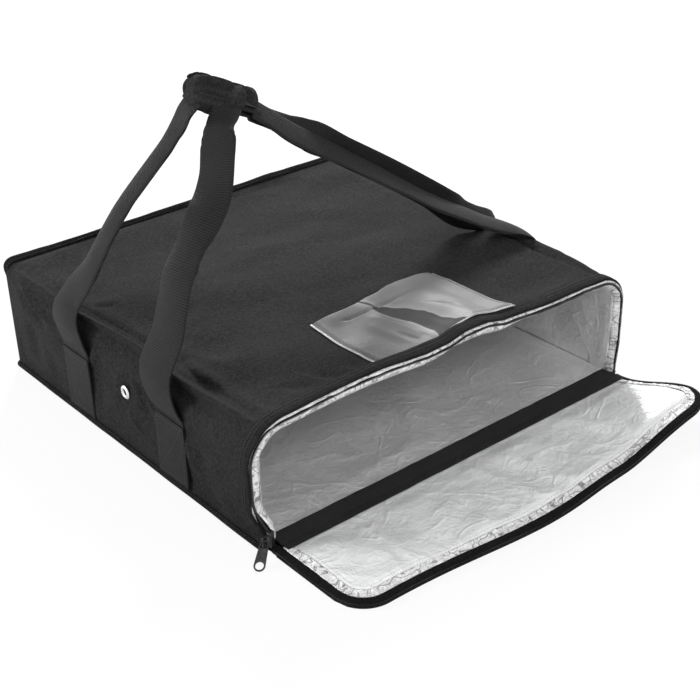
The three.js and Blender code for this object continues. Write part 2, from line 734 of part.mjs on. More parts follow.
function sewnStrap(side, middleY) {
  const near = halfWidth + STRAP_STANDOFF;
  const far = near + STRAP_THICKNESS;
  const low = [Math.min(side * near, side * far), middleY - STRAP_WIDTH / 2, STRAP_SEWN_BOTTOM];
  const high = [Math.max(side * near, side * far), middleY + STRAP_WIDTH / 2, STRAP_SEWN_TOP];
  return block(low, high);
}

// A share of 0 up to the start of a window and 1 past its end, with a smooth step between them.
function eased(share, [from, to]) {
  const inside = THREE.MathUtils.clamp((share - from) / (to - from), 0, 1);
  return inside * inside * (3 - 2 * inside);
}

const footTurnShares = [0.1, 0.35];
const gripTurnShares = [0.68, 1];

// A free strap leg along a smooth route. Its width lies along the foot at first, along `middleWidth` in
// the free part and along `gripWidth` at the grip, where it is gathered to `gripSpan`.
function strapLeg(route, middleWidth, gripWidth, gripSpan) {
  const curve = new THREE.CatmullRomCurve3(route, false, 'centripetal');
  const footWidth = new THREE.Vector3(0, 1, 0);
  const rings = [];
  for (let step = 0; step <= LEG_STEPS; step += 1) {
    const share = step / LEG_STEPS;
    const point = curve.getPointAt(share);
    const tangent = curve.getTangentAt(share);
    const gathered = eased(share, gripTurnShares);
    const wide = footWidth.clone().lerp(middleWidth, eased(share, footTurnShares));
    wide.lerp(gripWidth, gathered);
    wide.addScaledVector(tangent, -wide.dot(tangent)).normalize();
    const thick = new THREE.Vector3().crossVectors(tangent, wide).normalize();
    wide.multiplyScalar(mix(STRAP_WIDTH, gripSpan, gathered) / 2);
    thick.multiplyScalar(STRAP_THICKNESS / 2);
    rings.push([
      point.clone().add(wide).add(thick),
      point.clone().sub(wide).add(thick),
      point.clone().sub(wide).sub(thick),
      point.clone().add(wide).sub(thick),
    ]);
  }
  return loft(rings);
}

// The routes start at the top of the sewn strap. Their free points lie by shares between there and the
// grip, in X, Y and Z, and each leg meets the grip straight.
function legRoute(side, footY, end, away, legShares) {
  const footX = side * (halfWidth + STRAP_STANDOFF + STRAP_THICKNESS / 2);
  const start = new THREE.Vector3(footX, footY, STRAP_SEWN_TOP + STRAP_STANDOFF);
  const free = legShares.map(([towardsX, towardsY, towardsZ]) => new THREE.Vector3(
    mix(start.x, end.x, towardsX),
    mix(start.y, end.y, towardsY),
    mix(start.z, end.z, towardsZ),
  ));
  const rise = start.clone();
  rise.z += LEG_LEAD;
  const approach = end.clone().addScaledVector(away, LEG_LEAD);
  return [start, rise, ...free, approach, end];
}

const frontLeftShares = [
  [-0.039, 0, 0.066], [-0.084, 0, 0.154], [-0.087, 0, 0.225], [-0.046, 0, 0.284], [0.023, 0, 0.356],
  [0.078, 0, 0.479], [0.14, 0, 0.558], [0.243, 0.039, 0.646], [0.366, 0.131, 0.721],
  [0.511, 0.262, 0.796], [0.676, 0.523, 0.864], [0.841, 0.772, 0.927],
];
const rearLeftShares = [
  [-0.058, 0, 0.08], [-0.11, 0, 0.151], [-0.089, 0, 0.201], [0.003, 0.023, 0.236], [0.116, 0.105, 0.3],
  [0.26, 0.256, 0.42], [0.455, 0.431, 0.541], [0.619, 0.524, 0.622], [0.793, 0.675, 0.725],
  [0.937, 0.862, 0.838], [0.978, 0.978, 0.931],
];
const frontRightShares = [
  [-0.006, 0, 0.092], [-0.011, 0, 0.165], [0.001, 0.012, 0.222], [0.052, 0.047, 0.255],
  [0.153, 0.128, 0.299], [0.343, 0.303, 0.421], [0.58, 0.547, 0.616], [0.746, 0.71, 0.763],
  [0.884, 0.85, 0.889],
];
const rearRightShares = [
  [-0.019, 0.047, 0.077], [-0.053, 0.163, 0.144], [-0.073, 0.326, 0.21], [-0.053, 0.466, 0.268],
  [0.031, 0.536, 0.309], [0.186, 0.606, 0.405], [0.391, 0.699, 0.562], [0.643, 0.745, 0.748],
  [0.844, 0.862, 0.877],
];

function addStraps() {
  const halfRun = runLength / 2 + RUN_GAP;
  const strapMiddle = runOuter / 2;
  const alongFoot = new THREE.Vector3(0, 1, 0);
  const turnedIn = new THREE.Vector3(0.53, 0.85, 0);
  const towardsLeft = gripAlong.clone().negate();
  const towardsGround = gripUp.clone().negate();
  const underWrap = -(wrapHalfHeight + WRAP_CLEARANCE);
  const legs = {
    front_left: {
      end: gripPoint(0, underWrap, LEG_NECK_OFFSET), away: towardsGround, shares: frontLeftShares,
      middleWidth: alongFoot, gripWidth: towardsLeft, gripSpan: LEG_NECK_WIDTH,
    },
    rear_left: {
      end: gripPoint(strapMiddle, 0, -halfRun), away: towardsLeft, shares: rearLeftShares,
      middleWidth: turnedIn, gripWidth: gripUp, gripSpan: RUN_HEIGHT,
    },
    front_right: {
      end: gripPoint(-strapMiddle, 0, halfRun), away: gripAlong, shares: frontRightShares,
      middleWidth: alongFoot, gripWidth: gripUp, gripSpan: RUN_HEIGHT,
    },
    rear_right: {
      end: gripPoint(strapMiddle, 0, halfRun), away: gripAlong, shares: rearRightShares,
      middleWidth: alongFoot, gripWidth: gripUp, gripSpan: RUN_HEIGHT,
    },
  };
  for (const [name, leg] of Object.entries(legs)) {
    const side = name.endsWith('left') ? -1 : 1;
    const footY = name.startsWith('front') ? -STRAP_SPREAD : STRAP_SPREAD;
    const route = legRoute(side, footY, leg.end, leg.away, leg.shares);
    add(`${name}_strap_sewn`, sewnStrap(side, footY), webbingBlack);
    const free = strapLeg(route, leg.middleWidth, leg.gripWidth, leg.gripSpan);
    add(`${name}_strap_leg`, free, webbingBlack);
  }
}

addFloorAndBack('shell', shell, fabricBlack);
addFloorAndBack('foam', foam, foamGrey);
addFloorAndBack('lining', lining, foilSilver);
addWrap();
addTopAndSides('foam', foam, foamGrey);
addTopAndSides('lining', lining, foilSilver);
add('back_binding', backBinding(), fabricBlack);
add('foot_binding', footBinding(), fabricBlack);
addMouthZip();
add('zip_slider_body', sliderBody(), metalBlack);
add('zip_slider_bail', sliderBail(), metalBlack);
addPull();
addFlap();
addEyelets();
add('ticket_pocket', ticketPocket(), vinylClear);
addGrip();
addStraps();

export default bag;
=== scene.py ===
"""Looks of the pizza delivery bag. The shaping functions work in millimetres, in the solids' own frame."""
import math

import bpy
import numpy as np
from mathutils import Matrix, Vector


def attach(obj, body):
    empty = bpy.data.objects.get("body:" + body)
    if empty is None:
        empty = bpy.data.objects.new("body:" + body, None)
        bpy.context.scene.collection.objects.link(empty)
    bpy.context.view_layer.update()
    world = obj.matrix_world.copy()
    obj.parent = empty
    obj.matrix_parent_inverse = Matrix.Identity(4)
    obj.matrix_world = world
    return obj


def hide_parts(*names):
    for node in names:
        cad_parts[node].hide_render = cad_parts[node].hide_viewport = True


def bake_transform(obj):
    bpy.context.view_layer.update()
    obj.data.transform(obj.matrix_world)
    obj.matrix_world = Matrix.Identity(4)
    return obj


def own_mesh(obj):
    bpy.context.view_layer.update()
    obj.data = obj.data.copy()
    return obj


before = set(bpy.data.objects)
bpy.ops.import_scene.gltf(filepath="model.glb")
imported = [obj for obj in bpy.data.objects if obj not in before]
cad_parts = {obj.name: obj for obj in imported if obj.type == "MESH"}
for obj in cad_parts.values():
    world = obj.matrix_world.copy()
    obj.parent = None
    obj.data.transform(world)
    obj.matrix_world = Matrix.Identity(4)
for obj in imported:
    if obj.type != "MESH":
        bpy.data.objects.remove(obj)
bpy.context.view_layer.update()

MM = 0.001
UP = (0, 0, 1)

# Bag, as in the part's source
HALF_WIDTH = 240.0
BAG_DEPTH = 470.0
BAG_HEIGHT = 125.0
MOUTH_Y = -235.0
BACK_Y = 235.0
MOUTH_CROWN = 14.0
MOUTH_RADIUS = 36.0
BACK_RADIUS = 12.0

# Where the walls' cloth and foil end in front, and the layers' depths under the outer face
PANEL_FRONT = -231.0
SHELL = 1.0
FOAM_OUT, FOAM_IN = 2.9, 6.2
LINING_OUT, LINING_IN = 6.6, 7.2
FOIL_SHEET = 0.5

# Columns of the arch: left side, left shoulder, top, right shoulder and right side
ARCH_COLUMNS = (34, 26, 116, 26, 34)
ARCH_COUNT = sum(ARCH_COLUMNS)
ARCH_LENGTH = 712.0

# Camera, fitted to the photograph
CAMERA_PLACE = (-0.8123, -1.0537, 0.7593)
CAMERA_ROLL = -2.25
CAMERA_LENS = 69.94
CAMERA_SENSOR = 36.0
CAMERA_SHIFT = (0.0565, 0.0279)


def set_camera():
    """The camera looks at the frame's origin, a little rolled."""
    eye = Vector(CAMERA_PLACE)
    forward = (-eye).normalized()
    right = forward.cross(Vector(UP)).normalized()
    up = right.cross(forward)
    roll = math.radians(CAMERA_ROLL)
    turned_right = math.cos(roll) * right + math.sin(roll) * up
    turned_up = math.cos(roll) * up - math.sin(roll) * right
    data = bpy.data.cameras.new("product_camera")
    data.lens = CAMERA_LENS
    data.sensor_width = CAMERA_SENSOR
    data.shift_x, data.shift_y = CAMERA_SHIFT
    camera = bpy.data.objects.new("product_camera", data)
    turn = Matrix((turned_right, turned_up, -forward)).transposed()
    camera.matrix_world = Matrix.Translation(eye) @ turn.to_4x4()
    bpy.context.scene.collection.objects.link(camera)
    bpy.context.scene.camera = camera


set_camera()


# ---------------------------------------------------------------- making pieces

def nothing_selected():
    if bpy.context.mode != "OBJECT":
        bpy.ops.object.mode_set(mode="OBJECT")
    bpy.ops.object.select_all(action="DESELECT")


def only(piece):
    nothing_selected()
    piece.select_set(True)
    bpy.context.view_layer.objects.active = piece


def points_of(piece):
    flat = np.empty(len(piece.data.vertices) * 3, np.float32)
    piece.data.vertices.foreach_get("co", flat)
    return flat.reshape(-1, 3).astype(float)


def set_points(piece, points_mm):
    flat = (np.asarray(points_mm, float) * MM).astype(np.float32).ravel()
    piece.data.vertices.foreach_set("co", flat)
    piece.data.update()

def finish_mesh(piece, angle=180.0):
    """Shades a piece smooth, but for edges sharper than the angle."""
    only(piece)
    if angle >= 180:
        bpy.ops.object.shade_smooth()
    else:
        bpy.ops.object.shade_smooth_by_angle(angle=math.radians(angle))
    nothing_selected()


def face_towards(piece, outward):
    """Flips an open sheet whose faces look away from the outward direction, on average."""
    flat = np.empty(len(piece.data.polygons) * 3, np.float32)
    piece.data.polygons.foreach_get("normal", flat)
    mean = flat.reshape(-1, 3).mean(0)
    if float(mean @ np.array(outward, float)) < 0:
        only(piece)
        bpy.ops.object.mode_set(mode="EDIT")
        bpy.ops.mesh.select_all(action="SELECT")
        bpy.ops.mesh.flip_normals()
        bpy.ops.object.mode_set(mode="OBJECT")


def recalculate(piece, merge_mm=0.0):
    only(piece)
    bpy.ops.object.mode_set(mode="EDIT")
    bpy.ops.mesh.select_all(action="SELECT")
    if merge_mm:
        bpy.ops.mesh.remove_doubles(threshold=merge_mm * MM)
    bpy.ops.mesh.normals_make_consistent(inside=False)
    bpy.ops.object.mode_set(mode="OBJECT")


def apply_modifier(piece, kind, **settings):
    only(piece)
    modifier = piece.modifiers.new(kind.lower(), kind)
    for key, value in settings.items():
        setattr(modifier, key, value)
    bpy.ops.object.modifier_apply(modifier=modifier.name)


def thicken(piece, thickness, offset=-1.0):
    """Gives an open sheet its thickness, away from the side it faces unless offset says otherwise."""
    apply_modifier(piece, "SOLIDIFY", thickness=thickness * MM, offset=offset, use_even_offset=False)


def lay_sheet(
    name, columns, rows, place, size, outward=None, thickness=0.0, offset=-1.0, joined=False, angle=180.0,
):
    """A grid whose vertices place(across, along) lays, each from 0 to 1. Its UV map is in metres of cloth."""
    nothing_selected()
    bpy.ops.mesh.primitive_grid_add(x_subdivisions=columns, y_subdivisions=rows, size=1)
    sheet = bpy.context.active_object
    sheet.name = name
    sheet.data.name = name
    spots = points_of(sheet)[:, :2] + 0.5
    laid = place(spots[:, 0], spots[:, 1])
    set_points(sheet, np.column_stack(laid) if isinstance(laid, tuple) else laid)
    corners = np.empty(len(sheet.data.loops), np.int32)
    sheet.data.loops.foreach_get("vertex_index", corners)
    flat = spots[corners] * np.array(size, float) * MM
    layer = sheet.data.uv_layers[0]
    layer.name = "cloth"
    layer.data.foreach_set("uv", flat.astype(np.float32).ravel())
    if joined:
        recalculate(sheet, merge_mm=0.02)
    if outward is not None:
        face_towards(sheet, outward)
    if thickness:
        thicken(sheet, thickness, offset)
    finish_mesh(sheet, angle)
    return sheet


def dress(piece, look, body, *nodes, slot=None):
    """Paints a piece, hangs it on its body and lets it stand for its CAD nodes."""
    piece.data.materials.clear()
    piece.data.materials.append(look)
    if body is not None:
        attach(piece, body)
    if nodes:
        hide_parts(*nodes)
    slot = slot or SLOTS.get(look.name)
    return piece


# ---------------------------------------------------------------- numbers for cloth

def mix(low, high, share):
    return low + (high - low) * share


def eased(value, start, end):
    """0 before start, 1 after end, and a smooth step between them."""
    inside = np.clip((value - start) / (end - start), 0, 1)
    return inside * inside * (3 - 2 * inside)


def ripple(u, v, cell, seed):
    """Smooth irregular waves from about -1 to 1, roughly one cell apart."""
    count = 64
    table = np.random.RandomState(seed).uniform(-1, 1, (count, count))
    gu, gv = np.asarray(u, float) / cell + 7.3, np.asarray(v, float) / cell + 11.7
    iu, iv = np.floor(gu).astype(int), np.floor(gv).astype(int)
    fu, fv = gu - iu, gv - iv

    def weights(f):
        return (
            (1 - f) ** 3 / 6,
            (3 * f ** 3 - 6 * f ** 2 + 4) / 6,
            (-3 * f ** 3 + 3 * f ** 2 + 3 * f + 1) / 6,
            f ** 3 / 6,
        )

    total = np.zeros(np.broadcast(fu, fv).shape)
    for i, wu in enumerate(weights(fu)):
        for j, wv in enumerate(weights(fv)):
            total += wu * wv * table[(iu + i - 1) % count, (iv + j - 1) % count]
    return total * 1.9


def crumple(u, v, cell, seed):
    """Sharp ridges between soft dents, from -1 to 1, as in pressed foil."""
    wave = ripple(u, v, cell, seed)
    other = ripple(u + 0.7 * cell * wave, v - 0.5 * cell * wave, cell * 0.8, seed + 1)
    return 1 - 2.2 * np.abs(other)


def fold(u, v, start, end, width, height, sharp=0.35):
    """A ridge, or a groove where height is negative, along a straight line that dies out at its ends."""
    su, sv = start
    du, dv = end[0] - su, end[1] - sv
    share = np.clip(((u - su) * du + (v - sv) * dv) / (du * du + dv * dv), 0, 1)
    away = np.hypot(u - su - share * du, v - sv - share * dv) / width
    body = np.sqrt(np.clip(4 * share * (1 - share), 0, 1) + 0.04)
    soft = np.exp(-away ** 2)
    crisp = np.exp(-2 * np.sqrt(away ** 2 + 0.01))
    return height * body * mix(soft, crisp, sharp)


def hump(value, middle, width):
    """A bell: 1 at the middle, and about a third of that one width away."""
    return np.exp(-((value - middle) / width) ** 2)


def distances(points):
    """Distance travelled along a polyline at each of its points."""
    return np.concatenate([[0], np.cumsum(np.linalg.norm(np.diff(points, axis=0), axis=1))])


def rows_at(wanted, stops, rows):
    """Rows of a table, each read off between the stops where it is wanted."""
    return np.column_stack([np.interp(wanted, stops, column) for column in np.transpose(rows)])


def unit(rows):
    return rows / np.linalg.norm(rows, axis=1)[:, None]


def square_to(rows, tangents):
    """Unit vectors nearest to the rows that stand square to the tangents."""
    return unit(rows - tangents * np.sum(rows * tangents, axis=1)[:, None])


# ---------------------------------------------------------------- the bag's form

def section(y):
    share = (np.asarray(y, float) - MOUTH_Y) / BAG_DEPTH
    radius = MOUTH_RADIUS + (BACK_RADIUS - MOUTH_RADIUS) * share
    return radius, MOUTH_CROWN * (1 - share)


def arch(t, y, foot=0.0):
    """A point of the bag's outer face and its outward normal. t is 0 at the left foot, 1 and 2 at the
    ends of the left shoulder, 3 and 4 at those of the right shoulder and 5 at the right foot."""
    t, y = np.broadcast_arrays(np.asarray(t, float), np.asarray(y, float))
    radius, crown = section(y)
    span = HALF_WIDTH - radius
    side = np.where(t < 2.5, -1.0, 1.0)
    near = np.minimum(t, 5 - t)
    climb = np.clip(near, 0, 1)
    angle = np.clip(near - 1, 0, 1) * math.pi / 2
    over = np.clip(near - 2, 0, 0.5)
    reach = 1 - 2 * over
    x = side * np.where(near <= 2, span + radius * np.cos(angle), span * reach)
    z = foot + (BAG_HEIGHT - radius - foot) * climb + radius * np.sin(angle)
    z = z + crown * np.sin(over * math.pi) ** 2
    lean = crown * math.pi / (2 * span) * np.sin(reach * math.pi)
    nx = side * (np.cos(angle) * (near <= 2) + lean * (near > 2))
    nz = np.sin(angle)
    length = np.hypot(nx, nz)
    return np.stack([x, y, z], -1), np.stack([nx / length, 0 * nx, nz / length], -1)


def unrolled(t, y):
    """Distance from the middle of the left shoulder and of the right shoulder, over the top."""
    radius, _ = section(y)
    near = np.minimum(t, 5 - t)
    climb = np.clip(near, 0, 1)
    bend = (np.clip(near - 1, 0, 1) - 0.5) * radius * math.pi / 2
    over = np.clip(near - 2, 0, 0.5) * 2 * (HALF_WIDTH - radius)
    own = -(1 - climb) * (BAG_HEIGHT - radius) + bend + over
    whole = 2 * (HALF_WIDTH - radius) + radius * math.pi / 2
    left = np.where(t < 2.5, own, whole - own)
    return left, whole - left


RIM_X = [-240, -228, -201, -174, -146, -118, -95, -74, -43, -15, 8, 36, 60, 104, 139, 175, 200, 240]
RIM_RISE = [3, 5, 5, 6, 6, 5, 3.5, 1, -3, -3.5, 1, 2, -2, -1, 1, 4, 3, 1]


def mouth_shift(t, y):
    """How the soft mouth has slumped from its plain form, fading into the bag's depth."""
    point, _ = arch(t, y)
    x, z = point[..., 0], point[..., 2]
    fade = np.exp(-np.clip(y - MOUTH_Y, 0, None) / 95.0)
    left_side = eased(z, 12, 45) * eased(-x, 150, 236)
    left_top = eased(-x, 20, 170) * eased(z, 100, 124)
    back = 10.0 * np.maximum(left_side, 0.85 * left_top)
    out = -8.5 * left_side * (1 - 0.75 * eased(z, 92, 122))
    rise = np.interp(x, RIM_X, RIM_RISE) * eased(z, 85, 118)
    right_side = eased(z, 10, 50) * eased(x, 150, 236)
    out = out + 3.0 * right_side
    return np.stack([out * fade, back * fade, rise * fade], -1)


# Creases of the left side and the top beside the straps: start and end as distance from the left shoulder
# and y, then width and height. A negative height is a groove.
CREASES = [
    ((-4, 203), (-30, 137), 6, 3.2), ((-14, 205), (-42, 150), 9, -3.0),
    ((-70, 165), (-102, 146), 9, 1.8), ((-50, 178), (-95, 190), 12, -1.6),
    ((-26, 52), (-52, 66), 5, 2.4), ((-30, 44), (-96, 52), 9, -1.4),
    ((-16, -34), (-50, -70), 5, 2.8), ((-28, -28), (-62, -52), 8, -2.4),
    ((-70, -14), (-86, -38), 6, 2.0), ((-4, -2), (-62, -12), 11, -2.2),
    ((-60, 20), (-100, 34), 10, 1.3), ((-36, 8), (-80, 12), 7, 1.2),
    ((-58, -112), (-84, -136), 6, 2.4), ((-40, -120), (-80, -160), 12, -1.8),
    ((4, -168), (-6, -218), 7, 1.8), ((-14, -172), (-30, -214), 9, -1.4),
    ((-64, -150), (-108, -190), 12, 1.5), ((-90, -205), (-112, -224), 9, 1.2),
    ((22, 92), (40, 76), 4, -2.6), ((14, 40), (18, -34), 4, -2.2),
    ((24, -58), (12, -112), 6, -3.2), ((12, -112), (14, -156), 5, -2.4),
    ((34, -50), (46, -120), 9, 1.4), ((60, -30), (150, 30), 16, 1.6),
    ((76, -208), (58, -180), 6, -1.8), ((92, -212), (84, -180), 6, 1.6),
    ((112, -214), (96, -186), 7, -1.6), ((128, -216), (122, -196), 6, 1.2),
]
CREASE_STRENGTH = 1.7
# The right side repeats some of them, this far behind
RIGHT_CREASES, RIGHT_SETBACK = CREASES[2:18:2], 25


def cloth_relief(t, y):
    """Wrinkles of the outer fabric along its normal."""
    left, right = unrolled(t, y)
    point, _ = arch(t, y)
    x, z = point[..., 0], point[..., 2]
    flat_top = eased(np.minimum(left, right), 4, 40)
    relief = 2.8 * ripple(left, y * 0.8, 95, 3) + 2.6 * ripple(left, y, 46, 5)
    relief = relief + 0.8 * ripple(left * 0.6, y, 19, 8) + 0.22 * ripple(left, y, 9, 9)
    relief = relief + 1.8 * crumple(left * 0.7, y, 72, 14) * mix(0.6, 1.0, flat_top)
    relief = relief - flat_top * 3.6 * eased(y, -235, -185) * (1 - eased(y, 150, 235))
    relief = relief - flat_top * 3.4 * hump(x, -5, 110) * hump(y, -165, 55)
    # Ridges along the shoulders, pinched up by the straps
    wander = 2.5 * ripple(y, 0 * y, 55, 21)
    pinch = 0.45 + 0.55 * hump(y, 10, 75) + 0.55 * hump(y, -130, 40)
    for distance in (left, right):
        ridge = hump(distance - 3, wander, 2.8)
        groove = hump(distance - 12, wander, 6.0)
        lower = hump(distance + 6, wander, 6.0)
        pinched = pinch * (9.0 * ridge - 4.6 * groove - 4.8 * lower)
        relief = relief + pinched * (1 - eased(np.abs(y), 205, 228))
    for start, end, width, height in CREASES:
        relief = relief + fold(left, y, start, end, width, CREASE_STRENGTH * height)
    for start, end, width, height in RIGHT_CREASES:
        relief = relief + fold(right, y - RIGHT_SETBACK, start, end, width, height)
    # A bend is never pushed in further than its own radius allows
    lowest = mix(-4.6, -14.0, flat_top)
    relief = lowest + np.logaddexp(0, (relief - lowest) / 0.7) * 0.7
    # Puckers behind, where the back's seam gathers the top
    gather = eased(y, 178, 226) * eased(np.minimum(left, right), -6, 22)
    relief = relief + gather * (1.9 * ripple(left, 0 * y, 26, 31) + 1.6 * crumple(left, y * 0.3, 60, 33))
    # The seams hold the cloth
    held = eased(y, MOUTH_Y - 1, MOUTH_Y + 16) * (1 - eased(y, BACK_Y - 16, BACK_Y - 1))
    relief = relief * held * eased(z, 0, 16)
    return relief - 0.45 * (hump(y, MOUTH_Y + 13, 1.6) + hump(y, MOUTH_Y + 8, 1.2))


def around(share):
    """Turns an even share over the arch's columns into t."""
    stops = np.concatenate([[0], np.cumsum(ARCH_COLUMNS)]) / ARCH_COUNT
    return np.interp(share, stops, np.arange(len(stops)))


def wrap_place(depth, front, end, foot, extra=None):
    """Lays an arch-shaped sheet at a depth under the outer face."""
    def place(across, along):
        t = around(across)
        y = mix(front, end, along)
        point, normal = arch(t, y, foot)
        lift = cloth_relief(t, y) - depth
        if extra is not None:
            lift = lift + extra(t, y)
        return point + normal * lift[:, None] + mouth_shift(t, y)
    return place


# ---------------------------------------------------------------- materials

def new_group(name, inputs, outputs):
    group = bpy.data.node_groups.new(name, "ShaderNodeTree")
    for label, kind, value in inputs:
        socket = group.interface.new_socket(name=label, in_out="INPUT", socket_type=kind)
        if value is not None:
            socket.default_value = value
    for label, kind in outputs:
        group.interface.new_socket(name=label, in_out="OUTPUT", socket_type=kind)
    return group, group.nodes.new("NodeGroupInput"), group.nodes.new("NodeGroupOutput")


class Nodes:
    """Short hand for wiring one node tree."""

    def __init__(self, tree):
        self.tree = tree

    def node(self, kind, **settings):
        made = self.tree.nodes.new(kind)
        for key, value in settings.items():
            setattr(made, key, value)
        return made

    def link(self, source, target):
        self.tree.links.new(source, target)

    def put(self, socket, value):
        if isinstance(value, bpy.types.NodeSocket):
            self.link(value, socket)
        else:
            socket.default_value = value

    def math(self, operation, *values):
        made = self.node("ShaderNodeMath", operation=operation)
        for index, value in enumerate(values):
            self.put(made.inputs[index], value)
        return made.outputs[0]

    def plus(self, first, second):
        return self.math("ADD", first, second)

    def minus(self, first, second):
        return self.math("SUBTRACT", first, second)

    def times(self, first, second):
        return self.math("MULTIPLY", first, second)

    def split(self, vector):
        made = self.node("ShaderNodeSeparateXYZ")
        self.link(vector, made.inputs[0])
        return made.outputs[0], made.outputs[1]

    def noise(self, vector, scale, detail=2.0, roughness=0.5, distortion=0.0):
        made = self.node("ShaderNodeTexNoise")
        settings = (vector, scale, detail, roughness, distortion)
        for label, value in zip(("Vector", "Scale", "Detail", "Roughness", "Distortion"), settings):
            self.put(made.inputs[label], value)
        return made.outputs["Fac"]

    def cells(self, vector, scale):
        made = self.node("ShaderNodeTexVoronoi")
        self.put(made.inputs["Vector"], vector)
        self.put(made.inputs["Scale"], scale)
        return made.outputs["Distance"]

    def ranged(self, value, low, high, to_low=0.0, to_high=1.0):
        made = self.node("ShaderNodeMapRange")
        settings = (value, low, high, to_low, to_high)
        for label, number in zip(("Value", "From Min", "From Max", "To Min", "To Max"), settings):
            self.put(made.inputs[label], number)
        return made.outputs["Result"]

    def blend(self, share, first, second):
        made = self.node("ShaderNodeMix", data_type="RGBA")
        for index, value in ((0, share), (6, first), (7, second)):
            self.put(made.inputs[index], value)
        return made.outputs[2]

    def group(self, tree, **values):
        made = self.node("ShaderNodeGroup", node_tree=tree)
        for label, value in values.items():
            self.put(made.inputs[label], value)
        return made.outputs


def weave_group():
    """Plain weave over a UV map in metres: a height, and a mask of the threads that lie over."""
    group, given, out = new_group(
        "plain_weave",
        [("Cloth", "NodeSocketVector", None), ("Threads", "NodeSocketFloat", 1200.0)],
        [("Height", "NodeSocketFloat"), ("Over", "NodeSocketFloat")],
    )
    n = Nodes(group)
    across, along = n.split(given.outputs["Cloth"])
    turns = n.times(given.outputs["Threads"], math.pi)
    shift = n.times(n.noise(given.outputs["Cloth"], 60.0, 1.0), 1.6)
    warp = n.math("SINE", n.plus(n.times(across, turns), shift))
    weft = n.math("SINE", n.plus(n.times(along, turns), shift))
    cross = n.times(warp, weft)
    n.link(n.math("POWER", n.math("ABSOLUTE", cross), 0.6), out.inputs["Height"])
    n.link(n.ranged(cross, -0.35, 0.35), out.inputs["Over"])
    return group


def ribs_group():
    """Ribs of woven webbing across its length, with its columns of thread, over a UV map in metres."""
    group, given, out = new_group(
        "webbing_ribs",
        [
            ("Cloth", "NodeSocketVector", None),
            ("Ribs", "NodeSocketFloat", 400.0),
            ("Columns", "NodeSocketFloat", 700.0),
        ],
        [("Height", "NodeSocketFloat"), ("Rib", "NodeSocketFloat")],
    )
    n = Nodes(group)
    across, along = n.split(given.outputs["Cloth"])
    column = n.math("SINE", n.times(across, n.times(given.outputs["Columns"], math.pi)))
    turns = n.times(along, n.times(given.outputs["Ribs"], 2 * math.pi))
    stagger = n.times(n.math("SIGN", column), 0.7)
    raised = n.ranged(n.math("SINE", n.plus(turns, stagger)), -1.0, 1.0)
    height = n.plus(n.times(raised, 0.75), n.times(n.math("ABSOLUTE", column), 0.25))
    n.link(height, out.inputs["Height"])
    n.link(raised, out.inputs["Rib"])
    return group


def wear_group():
    """Dust and rubbing on cloth: broad cloudy patches, fine fluff and thread, from the piece's own place."""
    group, given, out = new_group(
        "cloth_wear",
        [("Place", "NodeSocketVector", None)],
        [("Cloud", "NodeSocketFloat"), ("Fluff", "NodeSocketFloat"), ("Thread", "NodeSocketFloat")],
    )
    n = Nodes(group)
    for label, scale, detail, roughness, low, high in (
        ("Cloud", 14.0, 5.0, 0.65, 0.32, 0.68),
        ("Fluff", 900.0, 2.0, 0.7, 0.36, 0.66),
        ("Thread", 330.0, 3.0, 0.65, 0.35, 0.65),
    ):
        field = n.noise(given.outputs["Place"], scale, detail, roughness)
        n.link(n.ranged(field, low, high), out.inputs[label])
    return group


def crinkle_group():
    """Small creases of foil: soft dents between thin raised lines, at two sizes."""
    group, given, out = new_group(
        "foil_crinkle",
        [("Cloth", "NodeSocketVector", None), ("Size", "NodeSocketFloat", 60.0)],
        [("Height", "NodeSocketFloat"), ("Crease", "NodeSocketFloat")],
    )
    n = Nodes(group)
    cloth, size = given.outputs["Cloth"], given.outputs["Size"]

    def lines(scale, detail, width):
        field = n.noise(cloth, scale, detail, 0.55, 0.9)
        return n.ranged(n.math("ABSOLUTE", n.minus(field, 0.5)), 0.0, width, 1.0, 0.0)

    sharp = lines(size, 1.5, 0.05)
    small = lines(n.times(size, 3.1), 3.0, 0.07)
    dents = n.noise(cloth, n.times(size, 1.7), 3.0, 0.6)
    height = n.plus(n.times(sharp, 0.16), n.times(small, 0.10))
    n.link(n.plus(height, dents), out.inputs["Height"])
    # The lines' mask, along which the foil's colour paints its highlight and shade
    n.link(n.math("MAXIMUM", sharp, n.times(small, 0.5)), out.inputs["Crease"])
    return group


WEAVE = weave_group()
RIBS = ribs_group()
WEAR = wear_group()
CRINKLE = crinkle_group()


class Look(Nodes):
    """One material: its shader, and the UV map and the place that its patterns read."""

    def __init__(self, name, colour, roughness, metallic=0.0, **constants):
        self.material = bpy.data.materials.new(name)
        self.material.use_nodes = True
        super().__init__(self.material.node_tree)
        self.shader = self.tree.nodes["Principled BSDF"]
        where = self.node("ShaderNodeTexCoord")
        self.cloth, self.place = where.outputs["UV"], where.outputs["Object"]
        self.feed(Base_Color=(*colour, 1), Roughness=roughness, Metallic=metallic, **constants)

    def feed(self, **values):
        """Sets or links inputs of the shader. A name has _ for a space."""
        for label, value in values.items():
            self.put(self.shader.inputs[label.replace("_", " ")], value)

    def bumped(self, height, strength, distance):
        """Ends the material with its bump and hands it over."""
        made = self.node("ShaderNodeBump")
        for label, value in (("Strength", strength), ("Distance", distance), ("Height", height)):
            self.put(made.inputs[label], value)
        self.link(made.outputs["Normal"], self.shader.inputs["Normal"])
        return self.material


def grey(value):
    return (value, value, value * 1.02, 1)


